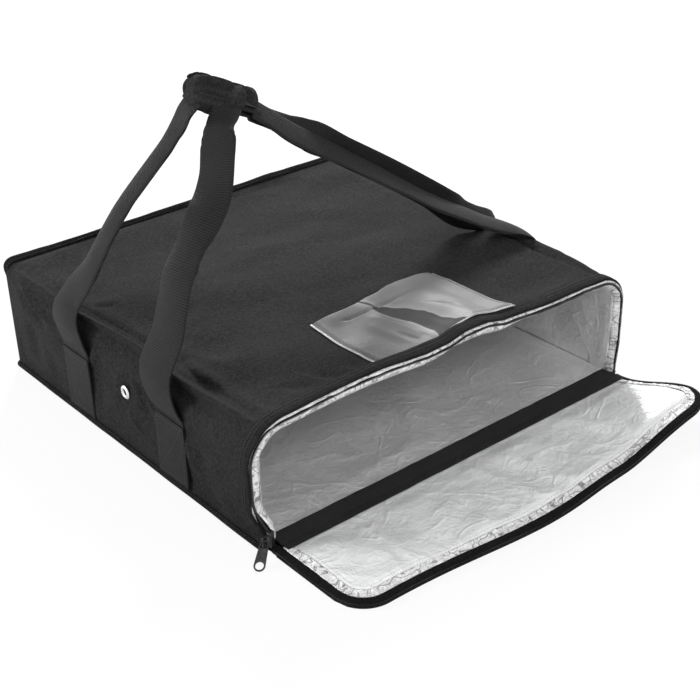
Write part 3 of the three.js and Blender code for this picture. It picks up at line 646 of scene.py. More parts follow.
def cloth_look(name, dark, light, threads, roughness, weave_depth=0.0003):
    """Woven cloth: threads over and under, fluff that catches light, and cloudy wear."""
    n = Look(name, (dark, dark, dark), roughness,
             Sheen_Weight=0.012, Sheen_Roughness=0.45, Specular_IOR_Level=0.03)
    weave = n.group(WEAVE, Cloth=n.cloth, Threads=threads)
    wear = n.group(WEAR, Place=n.place)
    base = n.blend(wear["Cloud"], grey(dark), grey(mix(dark, light, 0.8)))
    over = n.blend(n.times(weave["Over"], 0.3), base, grey(light))
    fleck = n.times(wear["Thread"], n.ranged(wear["Fluff"], 0.0, 1.0, 0.25, 0.75))
    n.feed(
        Base_Color=n.blend(fleck, over, grey(light * 1.9)),
        Roughness=n.ranged(wear["Cloud"], 0.0, 1.0, roughness - 0.08, roughness + 0.06),
    )
    height = n.plus(weave["Height"], n.times(wear["Fluff"], 0.8))
    return n.bumped(n.plus(height, n.times(wear["Thread"], 1.6)), 0.6, weave_depth)


def webbing_look(name, dark, light):
    """Woven webbing: raised ribs across it, painted lighter on their crests than in the hollows between them
    as painted highlight and shade, and flecks of lighter thread.
    """
    n = Look(name, (dark, dark, dark), 0.72, Sheen_Weight=0.02, Sheen_Roughness=0.4, Specular_IOR_Level=0.12)
    ribs = n.group(RIBS, Cloth=n.cloth)
    wear = n.group(WEAR, Place=n.place)
    base = n.blend(wear["Cloud"], grey(dark), grey(mix(dark, light, 0.4)))
    # The ribs' crests are painted lighter and the hollows between them darker: painted highlight and shade
    ribbed = n.blend(n.times(ribs["Rib"], 0.75), base, grey(light))
    n.feed(Base_Color=n.blend(n.times(wear["Thread"], 0.12), ribbed, grey(light * 1.3)))
    return n.bumped(n.plus(ribs["Height"], n.times(wear["Fluff"], 0.35)), 0.8, 0.0004)


def foil_look(name, tint, painted_crease_tint, roughness, size, depth, metallic, painted_crease_share, strength):
    """Pressed foil: cloudy, and its thin creases painted in a tint of their own: a painted highlight where
    that tint is lighter than the foil, painted shade where it is darker.
    """
    n = Look(name, tint, roughness, metallic)
    crinkle = n.group(CRINKLE, Cloth=n.cloth, Size=size)
    wear = n.group(WEAR, Place=n.place)
    cloudy = n.blend(wear["Cloud"], (*tint, 1), tuple(c * 0.86 for c in tint) + (1,))
    # The crinkle lines take the crease tint: a painted highlight where it is lighter than the foil, painted
    # shade where it is darker
    n.feed(
        Base_Color=n.blend(n.times(crinkle["Crease"], painted_crease_share), cloudy, (*painted_crease_tint, 1)),
        Roughness=n.ranged(wear["Thread"], 0.0, 1.0, roughness - 0.05, roughness + 0.1),
    )
    return n.bumped(crinkle["Height"], strength, depth)


def metal_look(name, colour, roughness, metallic, coat=0.0):
    """Metal or enamel with fine scratches and worn patches."""
    n = Look(name, colour, roughness, metallic, Coat_Weight=coat, Coat_Roughness=0.12)
    scratch = n.noise(n.place, 1600.0, 3.0, 0.6)
    patch = n.noise(n.place, 260.0, 3.0, 0.6)
    worn = tuple(min(1, c * 1.6 + 0.02) for c in colour) + (1,)
    n.feed(
        Base_Color=n.blend(n.ranged(patch, 0.42, 0.72), (*colour, 1), worn),
        Roughness=n.ranged(patch, 0.3, 0.7, roughness * 0.8, roughness * 1.3),
    )
    return n.bumped(scratch, 0.4, 0.00002)


def thread_look(name, value):
    n = Look(name, (value, value, value), 0.6)
    twist = n.noise(n.place, 2400.0, 1.0)
    n.feed(Base_Color=n.blend(twist, grey(value * 0.7), grey(value * 1.3)))
    return n.bumped(twist, 0.5, 0.0001)


def pitted_look(name, colour, roughness, scale, centre, rim, strength, depth):
    """Foam's cells, or the dense pile of hook and loop tape."""
    n = Look(name, colour, roughness)
    pits = n.cells(n.place, scale)
    n.feed(Base_Color=n.blend(pits, centre, rim))
    return n.bumped(pits, strength, depth)


def vinyl_look():
    """Clear soft vinyl: milky where it stands off the cloth, clear in the tongue where it clings to it, with
    a painted highlight that lightens its right side and the band beside the tongue.
    """
    n = Look("clear_vinyl", (0.30, 0.30, 0.31), 0.2,
             Specular_IOR_Level=0.14, Coat_Weight=0.02, Coat_Roughness=0.22)
    cloud = n.noise(n.cloth, 22.0, 2.0, 0.5, 0.4)
    fine = n.noise(n.cloth, 420.0, 3.0, 0.6)
    across, along = n.split(n.cloth)
    u, v = n.times(across, 1000.0), n.times(along, 1000.0)
    # The tongue: its middle line bends from the back towards the front edge, where it is widest
    middle = n.minus(n.minus(92.0, n.times(v, 0.10)), n.times(n.times(v, v), 0.0017))
    tip = n.minus(1.0, n.math("POWER", n.math("DIVIDE", v, 96.0), 3.0))
    half = n.times(n.math("SQRT", n.math("MAXIMUM", tip, 0.0)), 12.5)
    half = n.plus(half, n.ranged(v, 0.0, 14.0, 7.0, 0.0))
    half = n.plus(half, n.ranged(cloud, 0.35, 0.65, -2.0, 2.0))
    inside = n.minus(half, n.math("ABSOLUTE", n.minus(u, middle)))
    clings = n.ranged(inside, -0.8, 0.8)
    # Beside the tongue the vinyl stands off the cloth and is milkier, and its colour is painted lighter
    # there: a painted highlight
    near = n.ranged(inside, -9.0, -0.5)
    haze = n.plus(n.ranged(cloud, 0.36, 0.64, 0.60, 0.68), n.times(near, 0.10))
    # The colour lightens from left to right: a painted highlight over the pocket's right side
    tone = n.blend(n.ranged(u, 20.0, 110.0), (0.15, 0.15, 0.154, 1), (0.33, 0.33, 0.336, 1))
    n.feed(
        Alpha=n.times(haze, n.minus(1.0, n.times(clings, 0.88))),
        Base_Color=n.blend(n.times(near, 0.5), tone, (0.42, 0.42, 0.43, 1)),
        Roughness=n.ranged(fine, 0.3, 0.7, 0.44, 0.54),
    )
    return n.bumped(cloud, 0.2, 0.003)


def weld_look():
    """Welded edge of the vinyl: pressed flat, ribbed and milkier."""
    n = Look("welded_vinyl", (0.30, 0.30, 0.31), 0.3, Alpha=0.8)
    ribs = n.math("SINE", n.times(n.split(n.cloth)[0], 4200.0))
    n.feed(Base_Color=n.blend(n.ranged(ribs, -1.0, 1.0), (0.34, 0.34, 0.35, 1), (0.66, 0.66, 0.67, 1)))
    return n.bumped(ribs, 0.4, 0.0002)


def coil_look():
    """Hard glossy plastic of the zip's teeth."""
    n = Look("zip_coil", (0.012, 0.012, 0.013), 0.32, Coat_Weight=0.2)
    tone = n.noise(n.place, 700.0, 2.0)
    n.feed(Base_Color=n.blend(tone, grey(0.010), grey(0.028)))
    return n.bumped(tone, 0.3, 0.0001)


OXFORD = cloth_look("oxford_fabric", 0.005, 0.026, 1150.0, 0.80)
HEM_FABRIC = cloth_look("hem_fabric", 0.004, 0.020, 1150.0, 0.82)
# The grip's cloth is the same black cloth painted lighter all over, a painted highlight
GRIP_FABRIC_PAINTED_LIGHTER = cloth_look("grip_fabric_painted_lighter", 0.009, 0.032, 1300.0, 0.84)
TAPE = cloth_look("zip_tape", 0.004, 0.010, 1700.0, 0.8, 0.0002)
WEBBING = webbing_look("webbing", 0.003, 0.031)
# Flap foil: its creases painted lighter than the foil, a painted highlight
FOIL = foil_look(
    "foil_lining", (0.92, 0.925, 0.93), (0.99, 0.99, 0.99), roughness=0.36, size=17.0, depth=0.0034,
    metallic=0.22, painted_crease_share=0.30, strength=0.75,
)
# Foil of the walls: its creases painted lighter than the foil, a painted highlight
FOIL_INSIDE = foil_look(
    "foil_inside", (0.82, 0.82, 0.82), (0.95, 0.95, 0.95), roughness=0.36, size=17.0, depth=0.0036,
    metallic=0.60, painted_crease_share=0.30, strength=0.8,
)
# Finer at the rim, with dark flecks painted along its creases as painted shade
FOIL_RIM = foil_look(
    "foil_rim", (0.98, 0.98, 0.98), (0.05, 0.05, 0.05), roughness=0.34, size=70.0, depth=0.0012,
    metallic=0.15, painted_crease_share=0.85, strength=1.0,
)
STEEL = metal_look("nickel", (0.66, 0.65, 0.63), 0.24, 1.0)
BLACK_METAL = metal_look("black_enamel", (0.010, 0.010, 0.011), 0.38, 0.3, 0.15)
DARK_THREAD = thread_look("dark_thread", 0.040)
LIGHT_THREAD = thread_look("pale_thread", 0.50)
FOAM = pitted_look(
    "closed_cell_foam", (0.22, 0.22, 0.23), roughness=0.9, scale=900.0, centre=(0.26, 0.26, 0.27, 1),
    rim=(0.12, 0.12, 0.13, 1), strength=0.6, depth=0.0003,
)
FASTENER = pitted_look(
    "hook_and_loop", (0.02, 0.02, 0.021), roughness=0.85, scale=1500.0, centre=grey(0.05), rim=grey(0.012),
    strength=0.8, depth=0.0005,
)
VINYL = vinyl_look()
WELD = weld_look()
COIL = coil_look()

# Record's material slot of each look. Thread has none.
SLOTS = {
    "oxford_fabric": "fabric_black", "hem_fabric": "fabric_black", "grip_fabric_painted_lighter": "fabric_black",
    "zip_tape": "zip_black", "zip_coil": "zip_black", "webbing": "webbing_black",
    "foil_lining": "foil_silver", "foil_inside": "foil_silver", "foil_rim": "foil_silver",
    "nickel": "metal_steel", "black_enamel": "metal_black", "closed_cell_foam": "foam_grey",
    "hook_and_loop": "fastener_black", "clear_vinyl": "vinyl_clear", "welded_vinyl": "vinyl_clear",
}


# ---------------------------------------------------------------- outer fabric, foam and foil of the walls

shell_place = wrap_place(0, PANEL_FRONT, BACK_Y, 1.4)
dress(
    lay_sheet("outer_wrap", ARCH_COUNT, 154, shell_place, (ARCH_LENGTH, 462.0), UP, SHELL),
    OXFORD, "bag", "wrap_shell",
)

# The layers inside are cut at the middle of each shoulder
SHOULDER_CUT = (ARCH_COLUMNS[0] + ARCH_COLUMNS[1] // 2) / ARCH_COUNT


def inner_walls(suffix, solid, place, gap, side_columns, top_columns, rows, length, thickness, look):
    """Left, top and right sheets of one inner layer. The gap between them is a share of the arch."""
    made = []
    for name, first, last, columns, width, outward in (
        ("left", 0.0, SHOULDER_CUT - gap, side_columns, 120.0, (-1, 0, 0)),
        ("top", SHOULDER_CUT + gap, 1 - SHOULDER_CUT - gap, top_columns, 470.0, UP),
        ("right", 1 - SHOULDER_CUT + gap, 1.0, side_columns, 120.0, (1, 0, 0)),
    ):
        def part(across, along, first=first, last=last):
            return place(mix(first, last, across), along)

        wall = lay_sheet(f"{name}_{suffix}", columns, rows, part, (width, length), outward, thickness)
        made.append(dress(wall, look, "bag", f"{name}_{solid}"))
    return made


paddings = inner_walls(
    "padding", "foam", wrap_place(FOAM_OUT, -226.7, 228.4, 6.6), 0.002, 64, 170, 112, 456.0,
    FOAM_IN - FOAM_OUT, FOAM,
)


def foil_dents(t, y):
    left, _ = unrolled(t, y)
    loose = eased(y, -231, -212)
    dents = 0.7 * ripple(left, y, 60, 41) + 0.5 * np.clip(crumple(left, y, 70, 43), -1, 1)
    return -(0.9 + dents) * loose


inner_walls(
    "foil", "lining", wrap_place(LINING_OUT + 0.4, PANEL_FRONT, 227.5, 7.6, foil_dents), 0.001,
    40, 150, 120, 458.0, FOIL_SHEET, FOIL_INSIDE,
)


def arch_height(x, y, depth=0.0):
    """Height of the bag's plain outer face over a point of the ground."""
    radius, crown = section(y)
    span = HALF_WIDTH - radius
    away = np.abs(x)
    top = BAG_HEIGHT - depth + crown * np.cos(np.clip(away / span, 0, 1) * math.pi / 2) ** 2
    reach = radius - depth
    corner = BAG_HEIGHT - radius + np.sqrt(np.clip(reach ** 2 - (away - span) ** 2, 0, None))
    return np.where(away > span, corner, top)


def floor_place(bottom, relief):
    edge = HALF_WIDTH - bottom - 0.6

    def place(across, along):
        x = mix(-edge, edge, across)
        y = mix(PANEL_FRONT, BACK_Y - 1.5 - bottom, along)
        return x, y, bottom + relief(x, y)
    return place


def settle(x, y):
    rim = eased(240 - np.abs(x), 0, 14) * eased(y, -231, -215) * (1 - eased(y, 218, 233))
    return 0.35 * np.maximum(1 + ripple(x, y, 70, 51), 0.15) * rim


def floor_foil_relief(x, y):
    rim = eased(233 - np.abs(x), 0, 20) * (1 - eased(y, 205, 228))
    dents = 1.1 * ripple(x, y, 75, 53) + 1.0 * np.clip(crumple(x, y, 95, 55), -1, 1)
    dents = dents + 0.3 * ripple(x, y, 20, 57)
    return 0.3 + (1.3 + dents) * (0.15 + 0.85 * rim) * eased(y, -222, -200)


dress(
    lay_sheet("bottom_panel", 120, 118, floor_place(1.0, settle), (480, 464), UP, SHELL),
    OXFORD, "bag", "bottom_shell",
)
bottom_padding = dress(
    lay_sheet(
        "bottom_padding", 48, 48, floor_place(FOAM_IN - 0.2, settle), (476, 455), UP,
        FOAM_IN - FOAM_OUT - 0.6,
    ),
    FOAM, "bag", "bottom_foam",
)
dress(
    lay_sheet("bottom_foil", 160, 156, floor_place(LINING_IN, floor_foil_relief), (466, 458), UP, FOIL_SHEET),
    FOIL_INSIDE, "bag", "bottom_lining",
)


def back_place(face, margin, relief):
    """Lays an upright panel that fills the arch's outline at the back."""
    def place(across, along):
        x = mix(-HALF_WIDTH + margin, HALF_WIDTH - margin, across)
        top = arch_height(x, BACK_Y - 2, margin)
        z = mix(margin, top, along)
        return x, face + relief(x, z), z
    return place


def back_folds(x, z):
    rim = eased(240 - np.abs(x), 0, 22) * eased(z, 0, 20) * (1 - eased(z, 104, 124))
    waves = 1.6 * ripple(x, z, 85, 61) + 0.8 * ripple(x, z, 34, 63)
    waves = waves + fold(x, z, (-228, 110), (-170, 52), 9, 2.2) + fold(x, z, (226, 108), (178, 60), 9, 2.0)
    waves = waves + fold(x, z, (-40, 20), (60, 34), 12, 1.4) + fold(x, z, (90, 95), (150, 70), 10, 1.2)
    return (waves - 0.6) * rim


def back_foil_folds(x, z):
    rim = eased(232 - np.abs(x), 0, 20) * eased(z, 8, 24) * (1 - eased(z, 96, 116))
    dents = 1.0 * ripple(x, z, 60, 65) + 0.9 * np.clip(crumple(x, z, 80, 67), -1, 1)
    return -(1.0 + dents) * rim


dress(
    lay_sheet("back_panel", 160, 46, back_place(BACK_Y - 0.2, 0.7, back_folds), (480, 125), (0, 1, 0), SHELL),
    OXFORD, "bag", "back_shell",
)
back_padding = dress(
    lay_sheet(
        "back_padding", 48, 18, back_place(BACK_Y - FOAM_OUT, 1.8, back_folds), (476, 122), (0, 1, 0),
        FOAM_IN - FOAM_OUT,
    ),
    FOAM, "bag", "back_foam",
)
dress(
    lay_sheet(
        "back_foil", 150, 46, back_place(BACK_Y - LINING_OUT, 7.0, back_foil_folds), (466, 112), (0, -1, 0),
        FOIL_SHEET,
    ),
    FOIL_INSIDE, "bag", "back_lining",
)


# ---------------------------------------------------------------- bindings, beads and stitches

def oval(half_side, half_up, count, squareness):
    angles = np.linspace(0, 2 * math.pi, count + 1)
    x = np.sign(np.cos(angles)) * np.abs(np.cos(angles)) ** squareness * half_side
    z = np.sign(np.sin(angles)) * np.abs(np.sin(angles)) ** squareness * half_up
    return np.column_stack([x, z])


def close_ends(piece):
    """Fills the open rings at the ends of a swept tube."""
    only(piece)
    bpy.ops.object.mode_set(mode="EDIT")
    bpy.ops.mesh.select_all(action="DESELECT")
    bpy.ops.mesh.select_mode(type="EDGE")
    bpy.ops.mesh.select_non_manifold(extend=False, use_wire=False, use_multi_face=False)
    bpy.ops.mesh.edge_face_add()
    bpy.ops.mesh.select_all(action="SELECT")
    bpy.ops.mesh.normals_make_consistent(inside=False)
    bpy.ops.mesh.select_mode(type="VERT")
    bpy.ops.object.mode_set(mode="OBJECT")


def sweep(name, middles, sides, ups, profile, size, wobble):
    """A tube: a closed profile, in sideways and upward millimetres, carried along a path of frames."""
    count, steps = len(profile), len(middles)

    def place(across, along):
        ring = across * (count - 1)
        low = np.clip(np.floor(ring).astype(int), 0, count - 2)
        part = (ring - low)[:, None]
        shape = profile[low] * (1 - part) + profile[low + 1] * part
        row = np.clip(np.rint(along * (steps - 1)).astype(int), 0, steps - 1)
        shape = shape * (1 + wobble(along, across)[:, None])
        return middles[row] + sides[row] * shape[:, :1] + ups[row] * shape[:, 1:]

    tube = lay_sheet(name, count - 1, steps - 1, place, size, joined=True)
    close_ends(tube)
    finish_mesh(tube)
    return tube


def path_frames(points, lean):
    """Frames along a polyline: the side lies along lean, and up stands square to it and to the path."""
    tangent = unit(np.gradient(points, axis=0))
    side = square_to(np.broadcast_to(np.asarray(lean, float), points.shape), tangent)
    return side, np.cross(tangent, side)


def along_path(points, pitch, inset=0.0):
    """Points, tangents and the index share of even steps along a polyline."""
    travelled = distances(points)
    count = max(2, int((travelled[-1] - 2 * inset) / pitch))
    wanted = np.linspace(inset, travelled[-1] - inset, count)
    spots, ahead, behind = (rows_at(wanted + step, travelled, points) for step in (0, 0.3, -0.3))
    return spots, unit(ahead - behind), np.interp(wanted, travelled, np.arange(len(points)))


def repeated(name, template, spots, tangents, normals):
    """One mesh of copies of a template, each turned along its tangent with its top along the normal."""
    shape = points_of(template) / MM
    faces = [tuple(p.vertices) for p in template.data.polygons]
    normals = square_to(normals, tangents)
    sides = np.cross(normals, tangents)
    points, polygons = [], []
    for index, (spot, tangent, side, normal) in enumerate(zip(spots, tangents, sides, normals)):
        points.append(spot + shape[:, :1] * tangent + shape[:, 1:2] * side + shape[:, 2:] * normal)
        start = index * len(shape)
        polygons += [tuple(start + corner for corner in face) for face in faces]
    mesh = bpy.data.meshes.new(name)
    mesh.from_pydata((np.concatenate(points) * MM).tolist(), [], polygons)
    mesh.update()
    made = bpy.data.objects.new(name, mesh)
    bpy.context.scene.collection.objects.link(made)
    finish_mesh(made)
    return made


def bead(length, width, height, rings=4):
    """A small six-sided bead along x, copied for stitches and teeth."""
    nothing_selected()
    bpy.ops.mesh.primitive_uv_sphere_add(segments=6, ring_count=rings, radius=0.5)
    made = bpy.context.active_object
    shape = points_of(made)
    set_points(made, shape[:, [2, 0, 1]] * (length, width, height))
    recalculate(made)
    return made


def remove(piece):
    bpy.data.objects.remove(piece, do_unlink=True)


def sew(name, lines, look, body, pitch=3.4, length=2.3, width=0.55, height=0.45):
    """Stitches along lines of (points, normals)."""
    stitch = bead(length, width, height)
    rows = []
    for points, normal in lines:
        normal = np.broadcast_to(np.asarray(normal, float), points.shape)
        at, tangent, index = along_path(points, pitch, pitch / 2)
        rows.append((at, tangent, rows_at(index, np.arange(len(normal)), normal)))
    made = repeated(name, stitch, *(np.concatenate(part) for part in zip(*rows)))
    remove(stitch)
    return dress(made, look, body)


# Binding of the back's seam: a folded strip round the seam allowance, wavy where the cloth is gathered
SEAM_OFFSET, SEAM_TILT = 2.9, 0.7071


def back_seam_path():
    """The seam over the top of the back, from the side of one shoulder to that of the other."""
    span, shoulder_z = HALF_WIDTH - BACK_RADIUS, BAG_HEIGHT - BACK_RADIUS
    angles = np.linspace(0, math.pi / 2, 14)
    left = [(-span - BACK_RADIUS * math.cos(a), shoulder_z + BACK_RADIUS * math.sin(a)) for a in angles]
    left_out = [(-math.cos(a), math.sin(a)) for a in angles]
    middle = [(x, BAG_HEIGHT) for x in np.linspace(-span, span, 150)[1:-1]]
    outline = np.array(left + middle + [(-x, z) for x, z in left[::-1]])
    outward = np.array(left_out + [(0, 1)] * len(middle) + [(-x, z) for x, z in left_out[::-1]])
    wave = 0.9 * ripple(outline[:, 0], outline[:, 1], 34, 71)
    share = np.linspace(0, 1, len(outline))
    reach = mix(-1.5, SEAM_OFFSET, eased(share, 0, 0.06) * (1 - eased(share, 0.94, 1)))
    x = outline[:, 0] + outward[:, 0] * reach * SEAM_TILT
    z = outline[:, 1] + outward[:, 1] * (reach * SEAM_TILT + wave * 0.7)
    y = BACK_Y + reach * SEAM_TILT + 0.5 * wave
    lean = np.column_stack([outward[:, 0] * SEAM_TILT, np.full(len(x), SEAM_TILT), outward[:, 1] * SEAM_TILT])
    return np.column_stack([x, y, z]), lean


def seam_wobble(along, across):
    """The strip is uneven, and tapers to nothing at its ends."""
    ends = 1 - eased(along, 0, 0.05) * (1 - eased(along, 0.95, 1))
    return 0.10 * ripple(along * 760, across * 4, 22, 73) - 0.7 * ends


seam_points, seam_lean = back_seam_path()
seam_side, seam_up = path_frames(seam_points, seam_lean)
seam_tube = sweep(
    "back_binding_strip", seam_points, seam_side, seam_up, oval(4.1, 2.5, 14, 0.8), (12, 760), seam_wobble,
)
dress(seam_tube, HEM_FABRIC, "bag", "back_binding")
sew(
    "back_binding_stitches",
    [(seam_points + seam_up * s * 2.4 - seam_side * 1.2, seam_up * s) for s in (-1, 1)], DARK_THREAD, "bag",
)

# Binding round the foot
FOOT_CORNER, FOOT_REACH, FOOT_FRONT = 9.0, 2.4, -233.0


def foot_path():
    """Up the left side from the mouth, round the back and down the right side."""
    edge, back_edge = HALF_WIDTH + FOOT_REACH, BACK_Y + FOOT_REACH
    left = [(-edge, y) for y in np.linspace(FOOT_FRONT, back_edge - FOOT_CORNER, 120)]
    turn = [
        (-edge + FOOT_CORNER - FOOT_CORNER * math.cos(a), back_edge - FOOT_CORNER + FOOT_CORNER * math.sin(a))
        for a in np.linspace(0, math.pi / 2, 9)[1:]
    ]
    rear = [(x, back_edge) for x in np.linspace(-edge + FOOT_CORNER, 0, 60)[1:]]
    half = np.array(left + turn + rear)
    whole = np.concatenate([half, (half * [-1, 1])[::-1][1:]])
    wave = 0.6 * ripple(whole[:, 0] + whole[:, 1], whole[:, 1], 30, 81)
    return np.column_stack([whole[:, 0], whole[:, 1], 2.3 + 0.25 * wave])


foot_points = foot_path()
foot_side, foot_up = path_frames(foot_points, UP)
foot_tube = sweep(
    "foot_binding_strip", foot_points, foot_side, foot_up, oval(1.75, 2.9, 14, 0.85), (10, 1400),
    lambda along, across: 0.08 * ripple(along * 1400, across * 4, 24, 83),
)
dress(foot_tube, HEM_FABRIC, "bag", "foot_binding")
sew("foot_binding_stitches", [(foot_points + np.array([0, 0, 1.8]), UP)], DARK_THREAD, "bag")


# ---------------------------------------------------------------- rim of the mouth and its zip

def rim_run(t):
    """Distance along the rim from the middle of the left shoulder."""
    return unrolled(t, 0 * t + MOUTH_Y)[0]


def rim_curve(t, depth, y):
    point, normal = arch(t, y)
    return point - normal * np.asarray(depth, float)[..., None] + mouth_shift(t, y)


def rim_strip(name, end, columns, profile, width, outward, thickness, offset=-1.0):
    """A strip that follows the mouth. profile(t, share) gives its depth under the outer face and its y."""
    stations = ARCH_COUNT + 1

    def place(across, along):
        even = mix(end, 5 - end, across)
        t = np.interp(even, np.linspace(0, 5, stations), around(np.linspace(0, 1, stations)))
        return rim_curve(t, *profile(t, along))
    return lay_sheet(name, columns, 10, place, (ARCH_LENGTH, width), outward, thickness, offset)


# The hem's section, from its sewn edge over the rim, as depth and y behind the mouth
HEM_SECTION = np.array([
    (-0.75, 13.5), (-0.95, 9), (-0.8, 2), (-0.5, -0.6), (0.3, -1.7), (1.1, -1.2), (1.4, 2),
])


def hem_profile(t, share):
    steps = distances(HEM_SECTION)
    steps /= steps[-1]
    depth, y = (np.interp(share, steps, column) for column in HEM_SECTION.T)
    front = eased(-y, -13, 1)
    depth = depth - 0.35 * ripple(rim_run(t), 0 * t, 9, 91) * (1 - front)
    return depth, MOUTH_Y + y + 0.5 * ripple(rim_run(t), 0 * t, 14, 93) * front


dress(rim_strip("mouth_hem", 0.02, 330, hem_profile, 20, UP, 0.5, 1.0), HEM_FABRIC, "bag")


def rim_width(t):
    """How far the foil facing reaches into the mouth: broad at the left and narrow at the right."""
    broad = mix(16.0, 10.4, eased(t, 2.58, 2.75))
    return broad - 3.5 * hump(t, 2.47, 0.05) - 4.0 * (1 - eased(t, 0.02, 0.3))


# The facing's section: shares of its width, with the depth and y at each
ROLL_SHARES = [0, 0.12, 0.3, 0.45, 0.6, 0.8, 1.0]
ROLL_DEPTHS = [1.2, 1.2, 2.2, 4.4, 6.8, 9.4, 12.4]
ROLL_FRONTS = [3.0, -1.6, -2.8, -1.8, -2.3, -0.6, 4.5]


def roll_profile(t, share):
    run = rim_run(t)
    pucker = 1.6 * ripple(run, 0 * t, 9, 95) + crumple(run, share * 6, 12, 96)
    fine = 1.5 * ripple(run, share * 9, 4.5, 97)
    depth = np.interp(share, ROLL_SHARES, ROLL_DEPTHS)
    depth = 1.2 + (depth - 1.2) * (rim_width(t) - 1.2) / 11.2
    y = np.interp(share, ROLL_SHARES, ROLL_FRONTS)
    y = MOUTH_Y + y - 0.35 * pucker * np.sin(share * math.pi) - 0.2 * fine
    return depth + 0.18 * fine * share, y


dress(rim_strip("mouth_foil_facing", 0.03, 420, roll_profile, 18, (0, -1, 0), 0.35), FOIL_RIM, "bag")


def turning_profile(t, share):
    """The foil turned back from the rim to the lining."""
    y = MOUTH_Y + 4.0 + 26.0 * share + 0.4 * ripple(rim_run(t), share * 20, 11, 99)
    depth = mix(rim_width(t) - 0.1, 8.4, eased(share, 0, 1))
    return depth - cloth_relief(t, y) * eased(share, 0, 0.4), y


dress(rim_strip("mouth_foil_turning", 0.03, 300, turning_profile, 30, (0, 0, -1), 0.3), FOIL_INSIDE, "bag")

ZIP_DEPTH, CHAIN_SHIFT = 4.5, 2.9
TOOTH_PITCH = 1.45


def chain_shift(t):
    """How far the chain lies nearer the outside up the left of the mouth."""
    return eased(t, 0.40, 0.62) * (1 - eased(t, 1.3, 2.0)) * (t < 2.5)


def tape_profile(t, share):
    """The zip tape: a narrow band under the chain, broad beside the slider, where it covers the foil."""
    near = (1 - eased(t, 0.30, 0.52)) * (t < 2.5)
    depth = mix(mix(3.4, 0.6, near), mix(5.9, 8.2, near), share) - CHAIN_SHIFT * chain_shift(t)
    bulge = 0.9 * np.sin(share * math.pi)
    return depth, MOUTH_Y - 2.5 - bulge + 0.3 * ripple(rim_run(t), 0 * t, 8, 101)


dress(rim_strip("mouth_tape", 0.02, 330, tape_profile, 5, (0, -1, 0), 0.5), TAPE, "bag", "mouth_zip_tape")

line_t = around(np.linspace(0.012, 0.988, 1400))
tooth = bead(2.6, 0.9, 1.5, 5)
chain_depth = ZIP_DEPTH - CHAIN_SHIFT * chain_shift(line_t)
chain_depth = chain_depth + 0.5 * ripple(rim_run(line_t), 0 * line_t, 10, 103)
tooth_at, _, tooth_index = along_path(rim_curve(line_t, chain_depth, MOUTH_Y - 3.9), TOOTH_PITCH)
_, arch_normal = arch(np.interp(tooth_index, np.arange(len(line_t)), line_t), 0 * tooth_index + MOUTH_Y)
dress(
    repeated("mouth_teeth", tooth, tooth_at, -arch_normal, np.broadcast_to((0.0, -1.0, 0.0), tooth_at.shape)),
    COIL, "bag", "mouth_zip_teeth",
)
hem_lines = []
for inset, depth in ((6.5, -1.5), (11.0, -1.45)):
    seam_y = MOUTH_Y + inset + 0 * line_t
    hem_lines.append((rim_curve(line_t, depth - 0.1 + 0 * line_t, seam_y), arch(line_t, seam_y)[1]))
sew("mouth_hem_stitches", hem_lines, DARK_THREAD, "bag", 3.0, 2.1, 0.6, 0.5)


def rounded_copy(name, node, width):
    """A copy of a rigid CAD piece with its edges rounded."""
    copy = bpy.data.objects.new(name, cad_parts[node].data.copy())
    copy.data.name = name
    bpy.context.scene.collection.objects.link(copy)
    only(copy)
    bpy.ops.object.mode_set(mode="EDIT")
    bpy.ops.mesh.select_all(action="SELECT")
    bpy.ops.mesh.remove_doubles(threshold=0.00001)
    bpy.ops.mesh.dissolve_limited(angle_limit=math.radians(4))
    bpy.ops.object.mode_set(mode="OBJECT")
    apply_modifier(copy, "BEVEL", width=width * MM, segments=3, limit_method="ANGLE",
                   angle_limit=math.radians(30), harden_normals=False)
    finish_mesh(copy, 35)
    return copy


for name, node, body, width in (
    ("slider_shell", "zip_slider_body", "zip_slider", 0.35),
    ("slider_bail", "zip_slider_bail", "zip_slider", 0.45),
    ("slider_pull", "zip_pull", "zip_pull", 0.40),
    ("left_stop", "zip_stop_left", "bag", 0.35),
    ("right_stop", "zip_stop_right", "bag", 0.35),
):
    dress(rounded_copy(name, node, width), BLACK_METAL, body, node)


# ---------------------------------------------------------------- flap

HINGE_Y, HINGE_Z = -243.7, 3.6
FLAP_FOOT_Y = -247.3
FLAP_FOOT_Z = 7.8
FLAP_STEPS = 420
FLAP_RIM = 720


def flap_far(x, depth):
    return HINGE_Y + HINGE_Z - arch_height(x, MOUTH_Y, depth)


def flap_rise(x, y):
    """How the soft flap lies off the ground: its right side curls up, and its long edge is wavy."""
    reach = FLAP_FOOT_Y - y
    curl = 21.0 * eased(x, 95, 244) * eased(reach, 0, 90)
    wave = 2.6 * np.exp(-((x - 62) / 42) ** 2) * eased(reach, 70, 128)
    wave = wave + 1.1 * np.maximum(1 + ripple(x, y * 0.3, 85, 111), 0.15) * eased(reach, 60, 125)
    return curl + wave


def flap_flare(x, y):
    return 7.0 * eased(x, 120, 240) * eased(FLAP_FOOT_Y - y, 10, 100)


def flap_place(depth, bottom, relief=None):
    def place(across, along):
        edge = HALF_WIDTH - depth
        x = mix(-edge, edge, across)
        y = mix(FLAP_FOOT_Y, flap_far(np.clip(np.abs(x), 0, edge - 0.01), depth), along)
        z = bottom + flap_rise(x, y)
        if relief is not None:
            z = z + relief(x, y)
        return x + flap_flare(x, y), y, z
    return place


